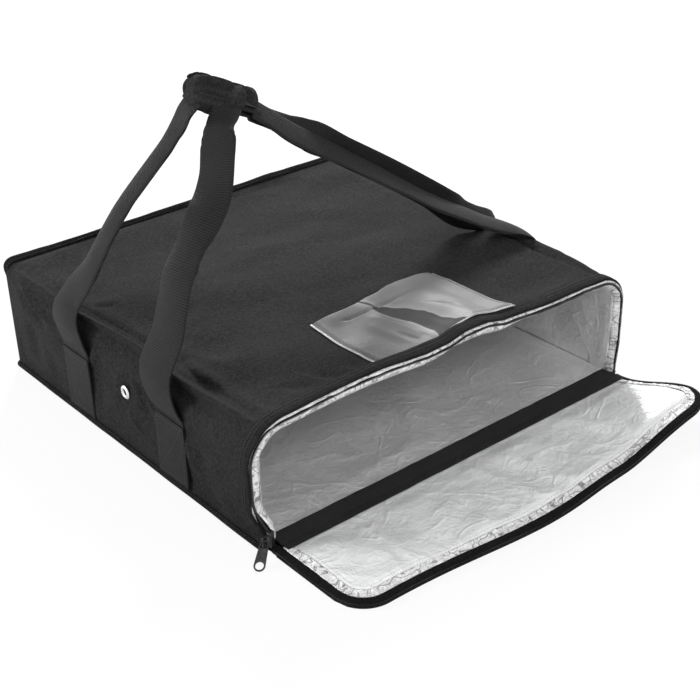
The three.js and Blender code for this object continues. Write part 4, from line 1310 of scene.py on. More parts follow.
def flap_foil_relief(x, y):
    """Soft broad wrinkles square to the long edge, with sharp dents, dying out at the sewn edges."""
    far = flap_far(np.clip(np.abs(x), 0, 230.1), 9.8)
    rim = eased(y - far, 1, 16) * eased(230 - np.abs(x), 0, 14) * eased(FLAP_FOOT_Y - y, 8, 28)
    slant = x + 0.35 * (y + 300)
    long_waves = 1.7 * ripple(slant, y * 0.42, 30, 121) + 1.1 * crumple(slant, y * 0.45, 44, 123)
    dents = 0.7 * crumple(x, y, 30, 125) + 0.25 * ripple(x, y, 11, 127)
    seam = -0.5 * hump(y - far, 5, 1.0) - 0.4 * hump(y - far, 9, 1.0)
    return (3.0 + long_waves + dents) * rim + seam + 0.12 * ripple(x, y, 6, 129) * rim


flap_cloth = dress(
    lay_sheet("flap_cloth", 150, 44, flap_place(1.8, 1.1), (476, 130), UP, 0.9),
    OXFORD, "mouth_flap", "flap_shell",
)
flap_padding = dress(
    lay_sheet("flap_padding", 70, 22, flap_place(14.0, 6.1), (450, 116), UP, 4.6),
    FOAM, "mouth_flap", "flap_foam",
)
flap_foil = dress(
    lay_sheet("flap_foil", 300, 84, flap_place(9.8, 6.5, flap_foil_relief), (460, 122), UP, 0.4),
    FOIL, "mouth_flap", "flap_lining",
)


def flap_outline(depth):
    """The flap's rim from its left foot round the long edge to its right foot, laid down on the ground."""
    point, normal = arch(around(np.linspace(0, 1, FLAP_STEPS)), MOUTH_Y, FLAP_FOOT_Z)
    point = point - normal * depth
    x, y = point[:, 0], HINGE_Y + HINGE_Z - point[:, 2]
    out = np.column_stack([normal[:, 0], -normal[:, 2], 0 * x])
    return np.column_stack([x + flap_flare(x, y), y, flap_rise(x, y)]), out


def flap_band(name, depth, height, profile, wobble):
    """A tube along the flap's rim, whose ends run back under the mouth."""
    laid, out = flap_outline(depth)
    back = np.linspace(6.4, 0.8, 8)[:, None] * np.array([0.0, 1.0, 0.0])
    laid = np.concatenate([laid[:1] + back, laid, laid[-1:] + back[::-1]])
    out = np.concatenate([np.repeat(out[:1], 8, 0), out, np.repeat(out[-1:], 8, 0)])
    side, up = path_frames(laid, out)
    if up[:, 2].mean() < 0:
        up = -up
    return sweep(name, laid + np.array([0, 0, height]), side, up, profile, (22, FLAP_RIM), wobble)


flap_binding = dress(
    flap_band("flap_binding_strip", 6.6, 2.3, oval(5.0, 1.7, 14, 0.7),
              lambda along, across: 0.07 * ripple(along * FLAP_RIM, across * 5, 26, 131)),
    HEM_FABRIC, "mouth_flap", "flap_edge_binding", slot="webbing_black",
)
flap_tape = dress(
    flap_band("flap_tape", 6.2, 4.8, oval(4.5, 2.0, 16, 0.75),
              lambda along, across: 0.10 * ripple(along * FLAP_RIM, across * 5, 30, 133)),
    TAPE, "mouth_flap", "flap_zip_tape",
)
chain_laid, chain_out = flap_outline(2.6)
chain_at, _, chain_index = along_path(chain_laid + np.array([0, 0, 4.6]), TOOTH_PITCH)
chain_facing = rows_at(chain_index, np.arange(len(chain_out)), chain_out)
flap_teeth = dress(
    repeated("flap_teeth", tooth, chain_at, chain_facing, np.broadcast_to((0.0, 0.0, 1.0), chain_at.shape)),
    COIL, "mouth_flap", "flap_zip_teeth",
)
remove(tooth)


def on_flap_foil(laid, lift):
    """Raises points of the flap's outline onto its foil."""
    relief = flap_foil_relief(laid[:, 0] - flap_flare(laid[:, 0], laid[:, 1]), laid[:, 1])
    return laid + np.column_stack([0 * relief, 0 * relief, relief + lift])


BORDER_OUTER, _ = flap_outline(9.2)
BORDER_INNER, _ = flap_outline(17.4)


def border_place(across, along):
    """The foil's crumpled border, turned under and sewn down beside the zip."""
    step = np.clip(np.rint(across * (FLAP_STEPS - 1)).astype(int), 0, FLAP_STEPS - 1)
    run, width = across * FLAP_RIM, along * 8
    wave = 1 + 0.10 * ripple(run, 0 * across, 26, 151) * along
    laid = BORDER_OUTER[step] + (BORDER_INNER[step] - BORDER_OUTER[step]) * (along * wave)[:, None]
    pucker = 0.5 + 0.5 * crumple(run, width, 7, 153) + 0.3 * ripple(run, width, 3.5, 155)
    return on_flap_foil(laid, 7.0) + np.column_stack([0 * run, 0 * run, np.clip(pucker, 0, None) * 0.9])


flap_border = dress(
    lay_sheet("flap_foil_border", FLAP_STEPS - 1, 8, border_place, (FLAP_RIM, 9), UP, 0.3),
    FOIL_RIM, "mouth_flap",
)
foil_lines = [(on_flap_foil(flap_outline(depth)[0], 7.5), UP) for depth in (17.6, 20.6)]
flap_stitches = sew("flap_foil_stitches", foil_lines, LIGHT_THREAD, "mouth_flap", 3.2, 2.2, 0.5, 0.4)
for piece in (
    flap_cloth, flap_padding, flap_foil, flap_border, flap_binding, flap_tape, flap_teeth, flap_stitches,
):
    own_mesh(piece)


def hinge_place(across, along):
    """The woven tape inside the fold."""
    x = mix(-229, 234, across)
    y = mix(-227.0, -254.0, along)
    rise = np.interp(y, [-255, -250, -243.7, -238, -226], [8.2, 8.1, 6.8, 7.8, 9.6])
    return x, y, rise + 0.35 * ripple(x, y, 18, 141) + 0.2 * ripple(x, y, 7, 143)


def hinge_cloth_place(across, along):
    """The outer cloth that runs on from the floor to the flap under the hinge."""
    x = mix(-237, 237, across)
    y = mix(-229.5, -251.5, along)
    return x, y, 0.95 + 0.12 * ripple(x, y, 18, 145)


hinge = lay_sheet("hinge_tape_cover", 220, 24, hinge_place, (468, 32), UP, 0.7)
dress(hinge, WEBBING, None, "flap_hinge_tape")
hinge_cloth = lay_sheet("hinge_outer_cloth", 160, 24, hinge_cloth_place, (474, 22), UP, 0.5)
dress(hinge_cloth, OXFORD, None)
for piece in (hinge, hinge_cloth):
    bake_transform(piece)


# ---------------------------------------------------------------- eyelets and ticket pocket

EYELET_Y, EYELET_Z = -5.0, 68.0


def eyelet_part(name, side, profile, node):
    """A turned metal part on the side wall, from radius and height over the cloth."""
    profile = np.array(profile)
    count = len(profile)

    def place(across, along):
        angle = across * 2 * math.pi
        step = np.clip(np.rint(along * (count - 1)).astype(int), 0, count - 1)
        radius, height = profile[step, 0], profile[step, 1]
        y, z = EYELET_Y + radius * np.cos(angle), EYELET_Z + radius * np.sin(angle)
        return side * (HALF_WIDTH + height), y, z

    turned = lay_sheet(name, 48, count - 1, place, (50, 20), joined=True, angle=50)
    dress(turned, STEEL, "bag", node)


flange = [
    (3.3, -8.3), (3.3, -4), (3.3, -0.4), (3.45, 0.35), (3.9, 1.05), (4.7, 1.5), (5.6, 1.45),
    (6.5, 1.1), (7.2, 0.6), (7.5, 0.15), (7.4, -0.1), (6.6, 0.0), (5.0, 0.1), (4.2, -0.1),
    (4.2, -4), (4.2, -8.3), (3.3, -8.3),
]
washer = [
    (4.5, -7.6), (6.8, -7.6), (7.5, -7.9), (7.5, -8.3), (7.1, -8.7), (6.0, -8.9), (4.9, -8.8),
    (4.5, -8.4), (4.5, -7.6),
]
for name, side in (("left", -1), ("right", 1)):
    eyelet_part(f"{name}_vent_eyelet", side, flange, f"{name}_eyelet")
    eyelet_part(f"{name}_vent_washer", side, washer, f"{name}_eyelet_washer")


def cloth_height(x, y):
    """Height of the wrinkled top over a point of the ground, well inside its edges."""
    radius, _ = section(y)
    span = HALF_WIDTH - radius
    near = 2 + (1 - np.clip(np.abs(x) / span, 0, 1)) / 2
    t = np.where(x < 0, near, 5 - near)
    point, _ = arch(t, y)
    return point[..., 2] + cloth_relief(t, y) + mouth_shift(t, y)[..., 2]


POCKET_WIDTH, POCKET_DEPTH = 168.0, 112.0
POCKET_X, POCKET_FRONT = 3.0, -219.0


def pocket_relief(u, v):
    """Bulges of the empty pocket on both sides of the tongue where it clings to the cloth."""
    rim = eased(u, 0, 9) * (1 - eased(u, 159, 168)) * eased(v, 0, 8)
    middle = 92 - 0.10 * v - 0.0017 * v * v
    clings = np.exp(-((u - middle) / 15) ** 4) * (1 - eased(v, 78, 100))
    puff = 2.0 + 0.8 * ripple(u, v, 60, 151)
    puff = puff + fold(u, v, (56, 84), (66, 18), 8, 1.7, 0.3) + fold(u, v, (42, 74), (50, 12), 7, 1.2, 0.3)
    puff = puff + fold(u, v, (92, 92), (122, 12), 9, 1.5, 0.3) + fold(u, v, (118, 80), (140, 30), 9, 1.0, 0.2)
    puff = puff - fold(u, v, (106, 62), (124, 34), 1.6, 1.6, 0.5)
    puff = puff - fold(u, v, (52, 40), (58, 14), 1.8, 1.4, 0.5)
    crease = -2.4 * hump(v - 98, -0.10 * (u - 30), 1.8)
    crease = crease * eased(u, 26, 40) * (1 - eased(u, 126, 140))
    open_edge = 2.2 * eased(v, 88, 112) * eased(u, 4, 24) * (1 - eased(u, 146, 166))
    return 0.25 + np.clip((puff + crease) * (1 - 0.93 * clings), 0, None) * rim + open_edge


def pocket_place(across, along):
    u, v = across * POCKET_WIDTH, along * POCKET_DEPTH
    x = POCKET_X - POCKET_WIDTH / 2 + u
    wave = np.interp(u, [0, 30, 55, 84, 112, 140, 168], [0, -1.0, -5.0, -5.0, -1.0, 1.5, 0])
    y = POCKET_FRONT + v + wave * eased(v, 50, 112) - 6.5 * (u / POCKET_WIDTH) ** 2 * (1 - v / POCKET_DEPTH)
    return x, y, cloth_height(x, y) + 0.9 + 0.8 * (1 - eased(v, 0, 12)) + pocket_relief(u, v)


pocket = lay_sheet("ticket_pocket_sheet", 168, 112, pocket_place, (POCKET_WIDTH, POCKET_DEPTH), UP, 0.35)
dress(pocket, VINYL, "bag", "ticket_pocket")


def pocket_edge_place(across, along):
    """Welded and sewn edge of the pocket, round its left, front and right sides."""
    run = across * (POCKET_DEPTH * 2 + POCKET_WIDTH)
    u = np.clip(run - POCKET_DEPTH, 0, POCKET_WIDTH)
    v = np.where(run < POCKET_DEPTH, POCKET_DEPTH - run, np.clip(run - POCKET_DEPTH - POCKET_WIDTH, 0, None))
    inward = along * 2.4
    u = np.clip(u, inward, POCKET_WIDTH - inward)
    v = np.clip(v, inward, POCKET_DEPTH)
    x, y, z = pocket_place(u / POCKET_WIDTH, v / POCKET_DEPTH)
    return x, y, z + 0.42


pocket_edge = lay_sheet("ticket_pocket_weld", 392, 5, pocket_edge_place, (392, 2.4), UP, 0.25)
dress(pocket_edge, WELD, "bag")
pocket_run = np.linspace(0.004, 0.996, 600)
sewn_edge = np.column_stack(pocket_edge_place(pocket_run, 0 * pocket_run + 0.55))
sewn_edge = sewn_edge + np.array([0, 0, 0.15])
sew("ticket_pocket_stitches", [(sewn_edge, UP)], DARK_THREAD, "bag", 3.0, 1.9, 0.45, 0.35)


# ---------------------------------------------------------------- straps

STRAP_WIDTH, STRAP_THICKNESS = 50.0, 2.0
STRAP_TOP, STRAP_FOOT = 75.0, 6.0
STRAP_STANDOFF = 0.3
GRIP = np.array([-99.0, 0.0, 339.5])
TILT, ROLL = math.radians(25), math.radians(40)
GRIP_ALONG = np.array([math.cos(TILT), 0, -math.sin(TILT)])
GRIP_UPRIGHT = np.array([math.sin(TILT), 0, math.cos(TILT)])
GRIP_UP = GRIP_UPRIGHT * math.sin(ROLL) + np.array([0, math.cos(ROLL), 0])
GRIP_ACROSS = -GRIP_UPRIGHT * math.cos(ROLL) + np.array([0, math.sin(ROLL), 0])
ALONG_Y = np.array([0.0, 1.0, 0.0])


def grip_point(across, up, along):
    across, up, along = np.broadcast_arrays(*(np.asarray(a, float) for a in (across, up, along)))
    return GRIP + across[..., None] * GRIP_ACROSS + up[..., None] * GRIP_UP + along[..., None] * GRIP_ALONG


def smooth_route(points, steps=28):
    """A centripetal curve through the points, as a fine polyline."""
    points = np.asarray(points, float)
    ends = np.vstack([2 * points[0] - points[1], points, 2 * points[-1] - points[-2]])
    line = []
    for i in range(len(points) - 1):
        p0, p1, p2, p3 = ends[i:i + 4]
        gaps = ((p0, p1), (p1, p2), (p2, p3))
        d0, d1, d2 = (max(float(np.linalg.norm(b - a)) ** 0.5, 1e-6) for a, b in gaps)
        t1 = ((p1 - p0) / d0 - (p2 - p0) / (d0 + d1) + (p2 - p1) / d1) * d1
        t2 = ((p2 - p1) / d1 - (p3 - p1) / (d1 + d2) + (p3 - p2) / d2) * d1
        square, cube = 3 * (p2 - p1) - 2 * t1 - t2, 2 * (p1 - p2) + t1 + t2
        for s in np.linspace(0, 1, steps, endpoint=False):
            line.append(p1 + t1 * s + square * s ** 2 + cube * s ** 3)
    line.append(points[-1])
    return np.array(line)


def keyed(share, keys):
    """Values at shares of the length, eased between the keys. A key is (share, value)."""
    stops = np.array([key[0] for key in keys], float)
    values = np.array([key[1] for key in keys], float)
    flat = values.reshape(len(keys), -1)
    index = np.clip(np.searchsorted(stops, share, side="right") - 1, 0, len(keys) - 2)
    part = np.clip((share - stops[index]) / (stops[index + 1] - stops[index]), 0, 1)
    part = (part * part * (3 - 2 * part))[:, None]
    return (flat[index] * (1 - part) + flat[index + 1] * part).reshape((len(share),) + values.shape[1:])


FOLDED_FLAT = math.radians(168)
LEG_COLUMNS, LEG_ROW = 30, 2.4
FOLD_STEPS = 60


def lay_leg(name, side, foot_y, free, ends, wide, span, cup, seed):
    """A strap's leg: webbing that hangs along a route, turns, cups and folds its edges over."""
    stand = HALF_WIDTH + STRAP_STANDOFF + STRAP_THICKNESS / 2
    start = np.array([side * stand, foot_y, STRAP_TOP + STRAP_STANDOFF])
    line = smooth_route([start, start + [0, 0, 5.0]] + [np.array(p, float) for p in free] + ends)
    travelled = distances(line)
    length = travelled[-1]
    rows = int(length / LEG_ROW)
    share = np.linspace(0, 1, rows + 1)
    centre = rows_at(share * length, travelled, line)
    tangent = unit(np.gradient(centre, axis=0))
    fold_side = 1 if float(np.cross(ends[-1] - ends[-2], wide[-1][1]) @ FOLDED_TOWARDS) > 0 else -1
    wide = square_to(keyed(share, wide), tangent)
    thick = np.cross(tangent, wide) * fold_side
    half = keyed(share, span)[:, None] / 2
    # Turn of the cloth at each distance from the middle, added up outwards
    fine = np.linspace(0, STRAP_WIDTH / 2, FOLD_STEPS + 1)
    step = fine[1] - fine[0]
    folded = FOLDED_FLAT * eased(fine[None, :], half - 1.9, half + 1.9) * eased(25 - half, 0, 3)
    angle = folded + keyed(share, cup)[:, None] * fine[None, :] / 25
    middle = (angle[:, 1:] + angle[:, :-1]) / 2
    half_width, half_depth = np.zeros_like(angle), np.zeros_like(angle)
    half_width[:, 1:] = np.cumsum(np.cos(middle), axis=1) * step
    half_depth[:, 1:] = np.cumsum(np.sin(middle), axis=1) * step

    def place(across, along):
        row = np.clip(np.rint(along * rows).astype(int), 0, rows)
        cloth = (across - 0.5) * STRAP_WIDTH
        spot = np.abs(cloth) / 25 * FOLD_STEPS
        low = np.clip(np.floor(spot).astype(int), 0, FOLD_STEPS - 1)
        part = spot - low
        reach = half_width[row, low] * (1 - part) + half_width[row, low + 1] * part
        depth = half_depth[row, low] * (1 - part) + half_depth[row, low + 1] * part
        travel = along * length
        loose = eased(along, 0.03, 0.2) * (1 - eased(along, 0.84, 0.97))
        flutter = 0.7 * ripple(travel, cloth, 55, seed)
        flutter = flutter + 0.7 * (cloth / 25) * ripple(travel, 0 * travel, 48, seed + 1)
        laid = centre[row] + wide[row] * (np.sign(cloth) * reach)[:, None]
        return laid + thick[row] * (depth + loose * flutter)[:, None]

    leg = lay_sheet(
        f"{name}_leg", LEG_COLUMNS, rows, place, (STRAP_WIDTH, length), None, STRAP_THICKNESS * 0.85, 0.0,
        angle=60,
    )
    dress(leg, WEBBING, None, f"{name}_strap_leg")
    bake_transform(leg)


# Each leg's route from its foot to the grip, then keys (share of its length, value) of the direction across
# it, its width once folded, and how far it cups
LEGS = (
    dict(
        name="front_left", side=-1, foot_y=-88.0,
        free=[
            (-247, -88, 92), (-253.5, -88, 114), (-254, -88, 132), (-248, -88, 147), (-238, -88, 165),
            (-229, -88, 196), (-219, -85, 222), (-178, -78, 265.5), (-163.5, -70, 276.5), (-152, -61, 288),
            (-141, -51, 302), (-131, -40, 313.5), (-122.5, -31, 323),
        ],
        ends=[grip_point(-9.2, -21, -4), grip_point(-7.8, -9.5, 3.5)],
        wide=[
            (0, ALONG_Y), (0.5, ALONG_Y), (0.62, (-0.3, 0.93, 0.2)), (0.75, (-0.18, 0.98, 0.08)),
            (0.88, (-0.25, 0.96, 0.1)), (1, -GRIP_ALONG),
        ],
        span=[(0, 50), (0.45, 48), (0.56, 40), (0.68, 40), (0.84, 37), (0.93, 27), (1, 30)],
        cup=[(0, 0), (0.3, 0.25), (0.55, 0.6), (0.75, 0.3), (1, 0)], seed=201,
    ),
    dict(
        name="rear_left", side=-1, foot_y=88.0,
        free=[
            (-247, 88, 98), (-252, 88, 118), (-250, 88, 132), (-242, 86, 145), (-230, 72, 170),
            (-219, 64, 191.5), (-206, 55.5, 216.5), (-191, 47, 241), (-174.5, 39, 263),
            (-159.5, 32, 282.5), (-148, 25, 299.5), (-140, 18, 316),
        ],
        ends=[grip_point(6, -9, -33.5), grip_point(1, -3, -28)],
        wide=[
            (0, ALONG_Y), (0.1, ALONG_Y), (0.35, (0.32, 0.95, 0)), (0.95, (0.25, 0.97, 0)),
            (1, (-0.3, 0.9, 0.2)),
        ],
        span=[(0, 50), (0.3, 48), (0.5, 38), (0.62, 33), (0.88, 32), (1, 26)],
        cup=[(0, 0), (0.2, 0.3), (0.5, 0.4), (0.8, 0.3), (1, 0)], seed=211,
    ),
    dict(
        name="front_right", side=1, foot_y=-88.0,
        free=[
            (243, -88, 98), (244.5, -88, 113), (241, -87, 126), (226, -84, 137.5), (196, -77, 150.5),
            (140, -62, 180.5), (70, -41, 227), (21, -27, 261), (-20, -15, 288),
        ],
        ends=[grip_point(-3.3, -8, 53.3), grip_point(-3.3, -4, 40.0)],
        wide=[
            (0, ALONG_Y), (0.13, ALONG_Y), (0.32, (0.1, 0.96, 0.25)), (0.6, (0.17, 0.9, 0.4)),
            (0.92, GRIP_UP), (1, GRIP_UP),
        ],
        span=[(0, 50), (0.14, 50), (0.34, 40), (0.6, 36), (0.88, 31), (1, 26)],
        cup=[(0, 0), (0.15, 0.4), (0.4, 0.2), (1, 0.1)], seed=221,
    ),
    dict(
        name="rear_right", side=1, foot_y=88.0,
        free=[
            (244.5, 82, 86), (248, 62, 91), (250, 34, 95), (252, 4, 99), (253, -22, 105), (251, -38, 113),
            (240, -47, 124), (217, -46, 136), (187.7, -42, 149.7), (148.7, -35, 179.2), (98.2, -25, 214.8),
            (39.5, -13, 254.1), (-4.3, -3, 283.8), (-33.9, 3, 302.3),
        ],
        ends=[grip_point(3.3, -4, 53.3), grip_point(3.3, -2, 40.0)],
        wide=[
            (0, ALONG_Y), (0.05, (0, 0.8, 0.6)), (0.13, (0, 0.35, 0.93)), (0.22, (0.1, 0.5, 0.85)),
            (0.33, (0.1, 0.75, 0.65)), (0.5, (0.5, -0.5, 0.68)), (0.75, (0.5, -0.5, 0.68)), (0.93, GRIP_UP),
            (1, GRIP_UP),
        ],
        span=[(0, 50), (0.2, 46), (0.3, 34), (0.45, 34), (0.8, 34), (0.93, 28), (1, 25)],
        cup=[(0, 0), (0.15, 0.2), (0.4, 0.2), (1, 0.1)], seed=231,
    ),
)
# The straps' edges are folded over on the sides that face away from the bag's left front
FOLDED_TOWARDS = np.array([0.81, 1.05, -0.76])


def sewn_place(side, foot_y, stand):
    """A sewn strap's face over y and z: its own folded hem and a soft wave."""
    def place(y, z):
        lift = 0.35 * ripple(y, z, 26, 241 + int(abs(foot_y)) % 7) + 0.6 * eased(z, 58, 76)
        return side * (HALF_WIDTH + stand + lift), y, z
    return place


def box_lines(foot_y):
    """The square with its cross that holds a strap's foot."""
    low, high = STRAP_FOOT + 5, STRAP_TOP - 3
    near, far = foot_y - 21, foot_y + 21
    corners = [(near, low), (far, low), (far, high), (near, high), (near, low), (far, high)]
    return list(zip(corners, corners[1:])) + [((far, low), (near, high))]


for leg in LEGS:
    lay_leg(**leg)
    name, side, foot_y = leg["name"], leg["side"], leg["foot_y"]
    on_cloth, on_webbing = sewn_place(side, foot_y, 2.6), sewn_place(side, foot_y, 2.8)

    def webbing_place(across, along, face=on_cloth, foot_y=foot_y):
        return face(foot_y + (across - 0.5) * STRAP_WIDTH, mix(STRAP_FOOT, STRAP_TOP + 1.5, along))

    sewn = lay_sheet(
        f"{name}_sewn_webbing", 28, 40, webbing_place, (STRAP_WIDTH, 69), (side, 0, 0), 1.9, angle=60,
    )
    dress(sewn, WEBBING, "bag", f"{name}_strap_sewn")
    box = []
    for near, far in box_lines(foot_y):
        y, z = np.linspace(near, far, 40).T
        box.append((np.column_stack(on_webbing(y, z)), (side, 0, 0)))
    sew(f"{name}_box_stitches", box, DARK_THREAD, "bag", 3.6, 2.6, 0.7, 0.5)


# ---------------------------------------------------------------- grip

SLEEVE_LEFT, SLEEVE_RIGHT = -38.5, 43.0


def channel_section():
    """Section of the webbing inside the grip, with its edges turned: up and depth."""
    fine = np.linspace(-STRAP_WIDTH / 2, STRAP_WIDTH / 2, FOLD_STEPS + 1)
    angle = np.sign(fine) * FOLDED_FLAT * eased(np.abs(fine), 10.5, 14.5)
    step = fine[1] - fine[0]
    up = np.concatenate([[0], np.cumsum(np.cos((angle[1:] + angle[:-1]) / 2)) * step])
    depth = np.concatenate([[0], np.cumsum(np.sin((angle[1:] + angle[:-1]) / 2)) * step])
    middle = FOLD_STEPS // 2
    return up - up[middle], depth - depth[middle]


RUN_UP, RUN_DEPTH = channel_section()
for name, side in (("front", -1), ("rear", 1)):
    def run_place(across, along, side=side):
        spot, steps = across * FOLD_STEPS, np.arange(FOLD_STEPS + 1)
        up, depth = np.interp(spot, steps, RUN_UP), np.interp(spot, steps, RUN_DEPTH)
        return grip_point(side * (4.6 - depth * 0.6), up * 0.9, mix(-33.0, 47.0, along))

    run = lay_sheet(f"{name}_grip_channel", FOLD_STEPS, 30, run_place, (50, 80), None, 1.6, 0.0, angle=60)
    dress(run, WEBBING, "carry_handle", f"{name}_strap_grip_run")


def gather_lines(around_mm, along_mm, seed):
    """Wrinkles that run along the grip, drawn together at its ends."""
    lines = 0.7 * ripple(around_mm, along_mm * 0.13, 5.5, seed)
    lines = lines + 0.5 * crumple(around_mm, along_mm * 0.1, 9, seed + 2)
    return lines + 0.8 * ripple(around_mm, along_mm * 0.5, 24, seed + 4)


def sleeve_place(across, along):
    """The padded sleeve, gathered at its left end and rolled into a lobe at its right end."""
    angle = across * 2 * math.pi
    stops = [0.0, 0.07, 0.12, 0.17, 0.83, 0.89, 0.94, 1.0]
    a = np.interp(along, stops, [-34, -36.5, SLEEVE_LEFT, -36.5, 41.5, SLEEVE_RIGHT, 41.0, 33])
    shrink = np.interp(along, stops, [-8.1, -6.4, -3.0, 0.0, -0.6, -2.4, -4.4, -5.5])
    outside = eased(along, 0.10, 0.2) * (1 - eased(along, 0.80, 0.9))
    girth = np.sin(angle) * 16 + np.cos(angle) * 21
    grow = shrink + outside * 0.85 * gather_lines(girth, a, 301)
    c, s = np.cos(angle), np.sin(angle)
    cross = np.sign(c) * np.abs(c) ** 0.75 * (8.4 + grow)
    half_up = 12.8 - 3.4 * eased(a, 12, 32) + grow
    up = np.sign(s) * np.abs(s) ** 0.78 * half_up + 3.2 * eased(a, 12, 32)
    up = up + 0.9 * np.sin(a / 17) * outside * np.clip(s, 0, 1)
    laid = grip_point(np.maximum(cross, -9.2), up, a)
    return laid

sleeve = lay_sheet("grip_sleeve", 110, 96, sleeve_place, (76, 100), joined=True)
dress(sleeve, GRIP_FABRIC_PAINTED_LIGHTER, "carry_handle", "grip_wrap_panel")


def leaf_relief(a, up):
    """The closing leaf's folds: lines along its left, a fan over the strap, a crease and a lobe."""
    left = 1 - eased(a - 0.9 * up, 2, 9)
    lines = 0.8 * ripple(up * 1.15, a * 0.12, 4.6, 321) + 0.6 * crumple(up, a * 0.1, 8, 323)
    for start, end, width, height in (
        ((-46, 2), (20, 9), 3.0, 3.4), ((-44, -2), (18, 3), 2.8, -3.0),
        ((-46, -5), (8, -3), 3.0, 2.6), ((-42, -9), (6, -10), 2.8, -3.0),
        ((-44, -12), (-2, -17), 3.2, 2.6), ((-44, 11), (-6, 13), 3.6, 2.6),
    ):
        lines = lines + fold(a, up, start, end, width, height, 0.1)
    fan = eased(a - 0.9 * up, 4, 10) * (1 - eased(a, 24, 27))
    pleats = 1.9 + 0.6 * ripple(a - 0.75 * up, 0 * a, 6, 325) + fold(a, up, (0, -14), (23, 8), 2.4, 2.4, 0.3)
    crease = -3.0 * np.exp(-((a - 26.5 - 0.10 * up) / 1.8) ** 2)
    lobe = 2.4 * eased(a, 28, 32) * (1 - eased(a, 37, 44)) + 0.5 * ripple(a, up, 11, 327) * eased(a, 29, 33)
    upper = 1 - 0.85 * eased(up, 6, 12)
    return 1.25 * left * upper * lines + fan * pleats * upper + crease + lobe


def leaf_place(across, along):
    """The leaf wraps the sleeve's front and underside, and lifts its lower edge over the front strap."""
    a = mix(-40.6, 45.4, across)
    over_strap = eased(a, -16, -10) * (1 - eased(a, 14, 21))
    share = mix(0.10 * over_strap + 0.34 * eased(a, 22, 29), 1.0, along)
    turn = mix(-2.05, 1.05, share)
    c, s = np.cos(turn), np.sin(turn)
    end = np.maximum(np.clip((-30 - a) / 10.6, 0, 1), np.clip((a - 38) / 7.4, 0, 1))
    full = 1 - mix(0.95, 0.80, eased(a, -5, 5)) * (1 - np.sqrt(np.clip(1 - end ** 2, 0, 1)))
    inside = eased(end, 1.0, 0.5) * np.minimum(eased(along, 0.0, 0.12) + 0.4, 1)
    inside = inside * (1 - 0.8 * eased(along, 0.88, 1.0))
    relief = leaf_relief(a, turn * 13.0) * inside + 3.0 * over_strap * eased(-turn, 0.2, 0.9)
    relief = np.logaddexp(0, (relief + 1.9) / 0.4) * 0.4 - 1.9
    reach = -1.0 + (np.sign(c) * np.abs(c) ** 0.72 * 14.3 + relief * c) * full
    tall = 15.4 - 1.5 * eased(a, -16, -6) - 2.1 * eased(a, 12, 32)
    up = (np.sign(s) * np.abs(s) ** 0.85 * tall + relief * s) * full + 3.4 * eased(a, 12, 32)
    laid = grip_point(-reach, up + 0.8 * np.sin(a / 17) * eased(s, 0, 1), a)
    return laid


leaf = lay_sheet("grip_leaf", 140, 96, leaf_place, (88, 50), tuple(-GRIP_ACROSS - GRIP_UP), 1.4)
dress(leaf, GRIP_FABRIC_PAINTED_LIGHTER, "grip_wrap_leaf", "grip_wrap_leaf")


def lip_place(across, along):
    """The sleeve's upper lip: a soft roll over the leaf's top edge, humped and creased at its left."""
    a = mix(-37.5, 41.0, across)
    angle = along * 2 * math.pi
    hump = eased(a, -37, -29) * (1 - eased(a, -14, -6))
    crease = np.exp(-((a + 10 + 4 * np.sin(angle)) / 2.2) ** 2)
    lines = 0.7 * ripple(a * 0.25, along * 20, 6, 331) + 0.5 * crumple(a * 0.4, along * 26, 7, 335)
    ends = 0.2 + 0.8 * np.sqrt(np.clip(np.sin(across * math.pi), 0, 1))
    ends = ends * (1 + 0.2 * ripple(a, 0 * a, 15, 333))
    half_reach = mix(6.6, 7.8, hump) * (1 - 0.25 * crease)
    half_up = mix(2.6, 4.4, hump) * (1 - 0.35 * crease)
    reach = 5.2 + (half_reach * np.cos(angle) + lines) * ends
    up = 14.0 - 0.4 * eased(a, 0, 40) + 0.6 * hump + (half_up * np.sin(angle) + 0.5 * lines) * ends
    laid = grip_point(-reach, up + 0.9 * np.sin(a / 17), a)
    return laid

lip = lay_sheet("grip_lip", 110, 28, lip_place, (80, 18), joined=True)
close_ends(lip)
finish_mesh(lip)
dress(lip, GRIP_FABRIC_PAINTED_LIGHTER, "carry_handle")

for name, body, node, reach in (
    ("grip_loop_strip", "carry_handle", "grip_loop_patch", 9.25),
    ("grip_hook_strip", "grip_wrap_leaf", "grip_hook_patch", 9.85),
):
    def patch_place(across, along, reach=reach):
        return grip_point(-reach, mix(-9, 9, along), mix(-34, 38, across))

    patch = lay_sheet(name, 60, 16, patch_place, (72, 18), tuple(-GRIP_ACROSS), 0.3)
    dress(patch, FASTENER, body, node)


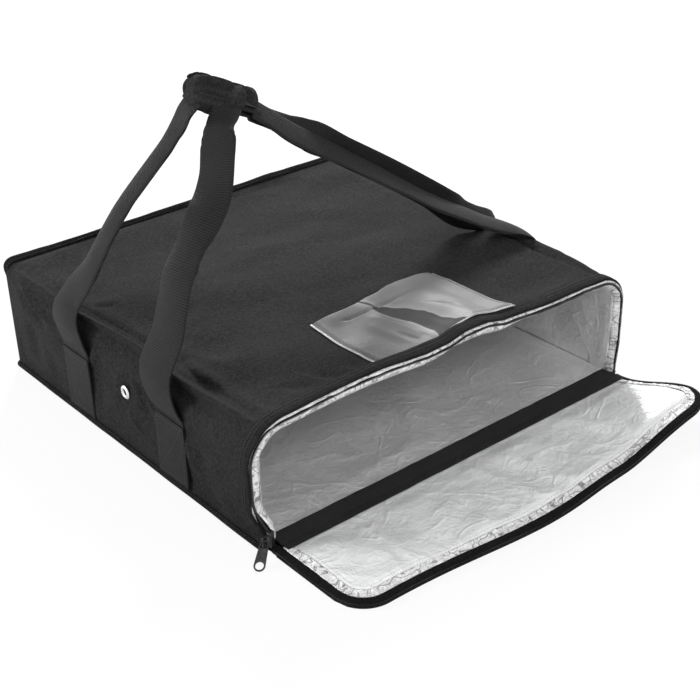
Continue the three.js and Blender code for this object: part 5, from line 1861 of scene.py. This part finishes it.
# ---------------------------------------------------------------- stage, lamps and world

FLOOR_WHITE, AMBIENT = 0.88, 0.34


def studio():
    nothing_selected()
    bpy.ops.mesh.primitive_grid_add(x_subdivisions=8, y_subdivisions=8, size=14)
    floor = bpy.context.active_object
    floor.name = "studio_floor"
    n = Look("studio_floor", (0.93, 0.93, 0.93), 0.9)
    glow = n.node("ShaderNodeEmission")
    path = n.node("ShaderNodeLightPath")
    mixed = n.node("ShaderNodeMixShader")
    n.link(n.times(path.outputs["Is Camera Ray"], FLOOR_WHITE), mixed.inputs[0])
    n.link(n.shader.outputs[0], mixed.inputs[1])
    n.link(glow.outputs[0], mixed.inputs[2])
    n.link(mixed.outputs[0], n.tree.nodes["Material Output"].inputs["Surface"])
    floor.data.materials.append(n.material)

    world = bpy.data.worlds.new("studio")
    world.use_nodes = True
    bpy.context.scene.world = world
    n = Nodes(world.node_tree)
    background = n.tree.nodes["Background"]
    path = n.node("ShaderNodeLightPath")
    seen = n.math("MAXIMUM", path.outputs["Is Camera Ray"], path.outputs["Is Glossy Ray"])
    seen = n.math("MAXIMUM", seen, path.outputs["Is Transmission Ray"])
    n.put(background.inputs["Color"], (1, 1, 1, 1))
    n.put(background.inputs["Strength"], n.ranged(seen, 0.0, 1.0, AMBIENT, 1.0))


def lamp(name, place, target, size, watts):
    data = bpy.data.lights.new(name, "AREA")
    data.shape = "RECTANGLE"
    data.size, data.size_y = size
    data.energy = watts
    made = bpy.data.objects.new(name, data)
    made.location = place
    made.rotation_euler = (Vector(target) - Vector(place)).to_track_quat("-Z", "Y").to_euler()
    bpy.context.scene.collection.objects.link(made)


studio()
lamp("top_softbox", (1.2, 1.6, 1.35), (0, 0, 0.1), (0.7, 0.6), 62)
lamp("left_softbox", (-1.8, 1.1, 1.0), (-0.1, 0, 0.12), (0.6, 0.6), 33)
lamp("front_fill", (-0.5, -2.1, 1.9), (0, -0.2, 0.1), (1.2, 1.0), 34)
bpy.context.scene.view_settings.view_transform = "Standard"
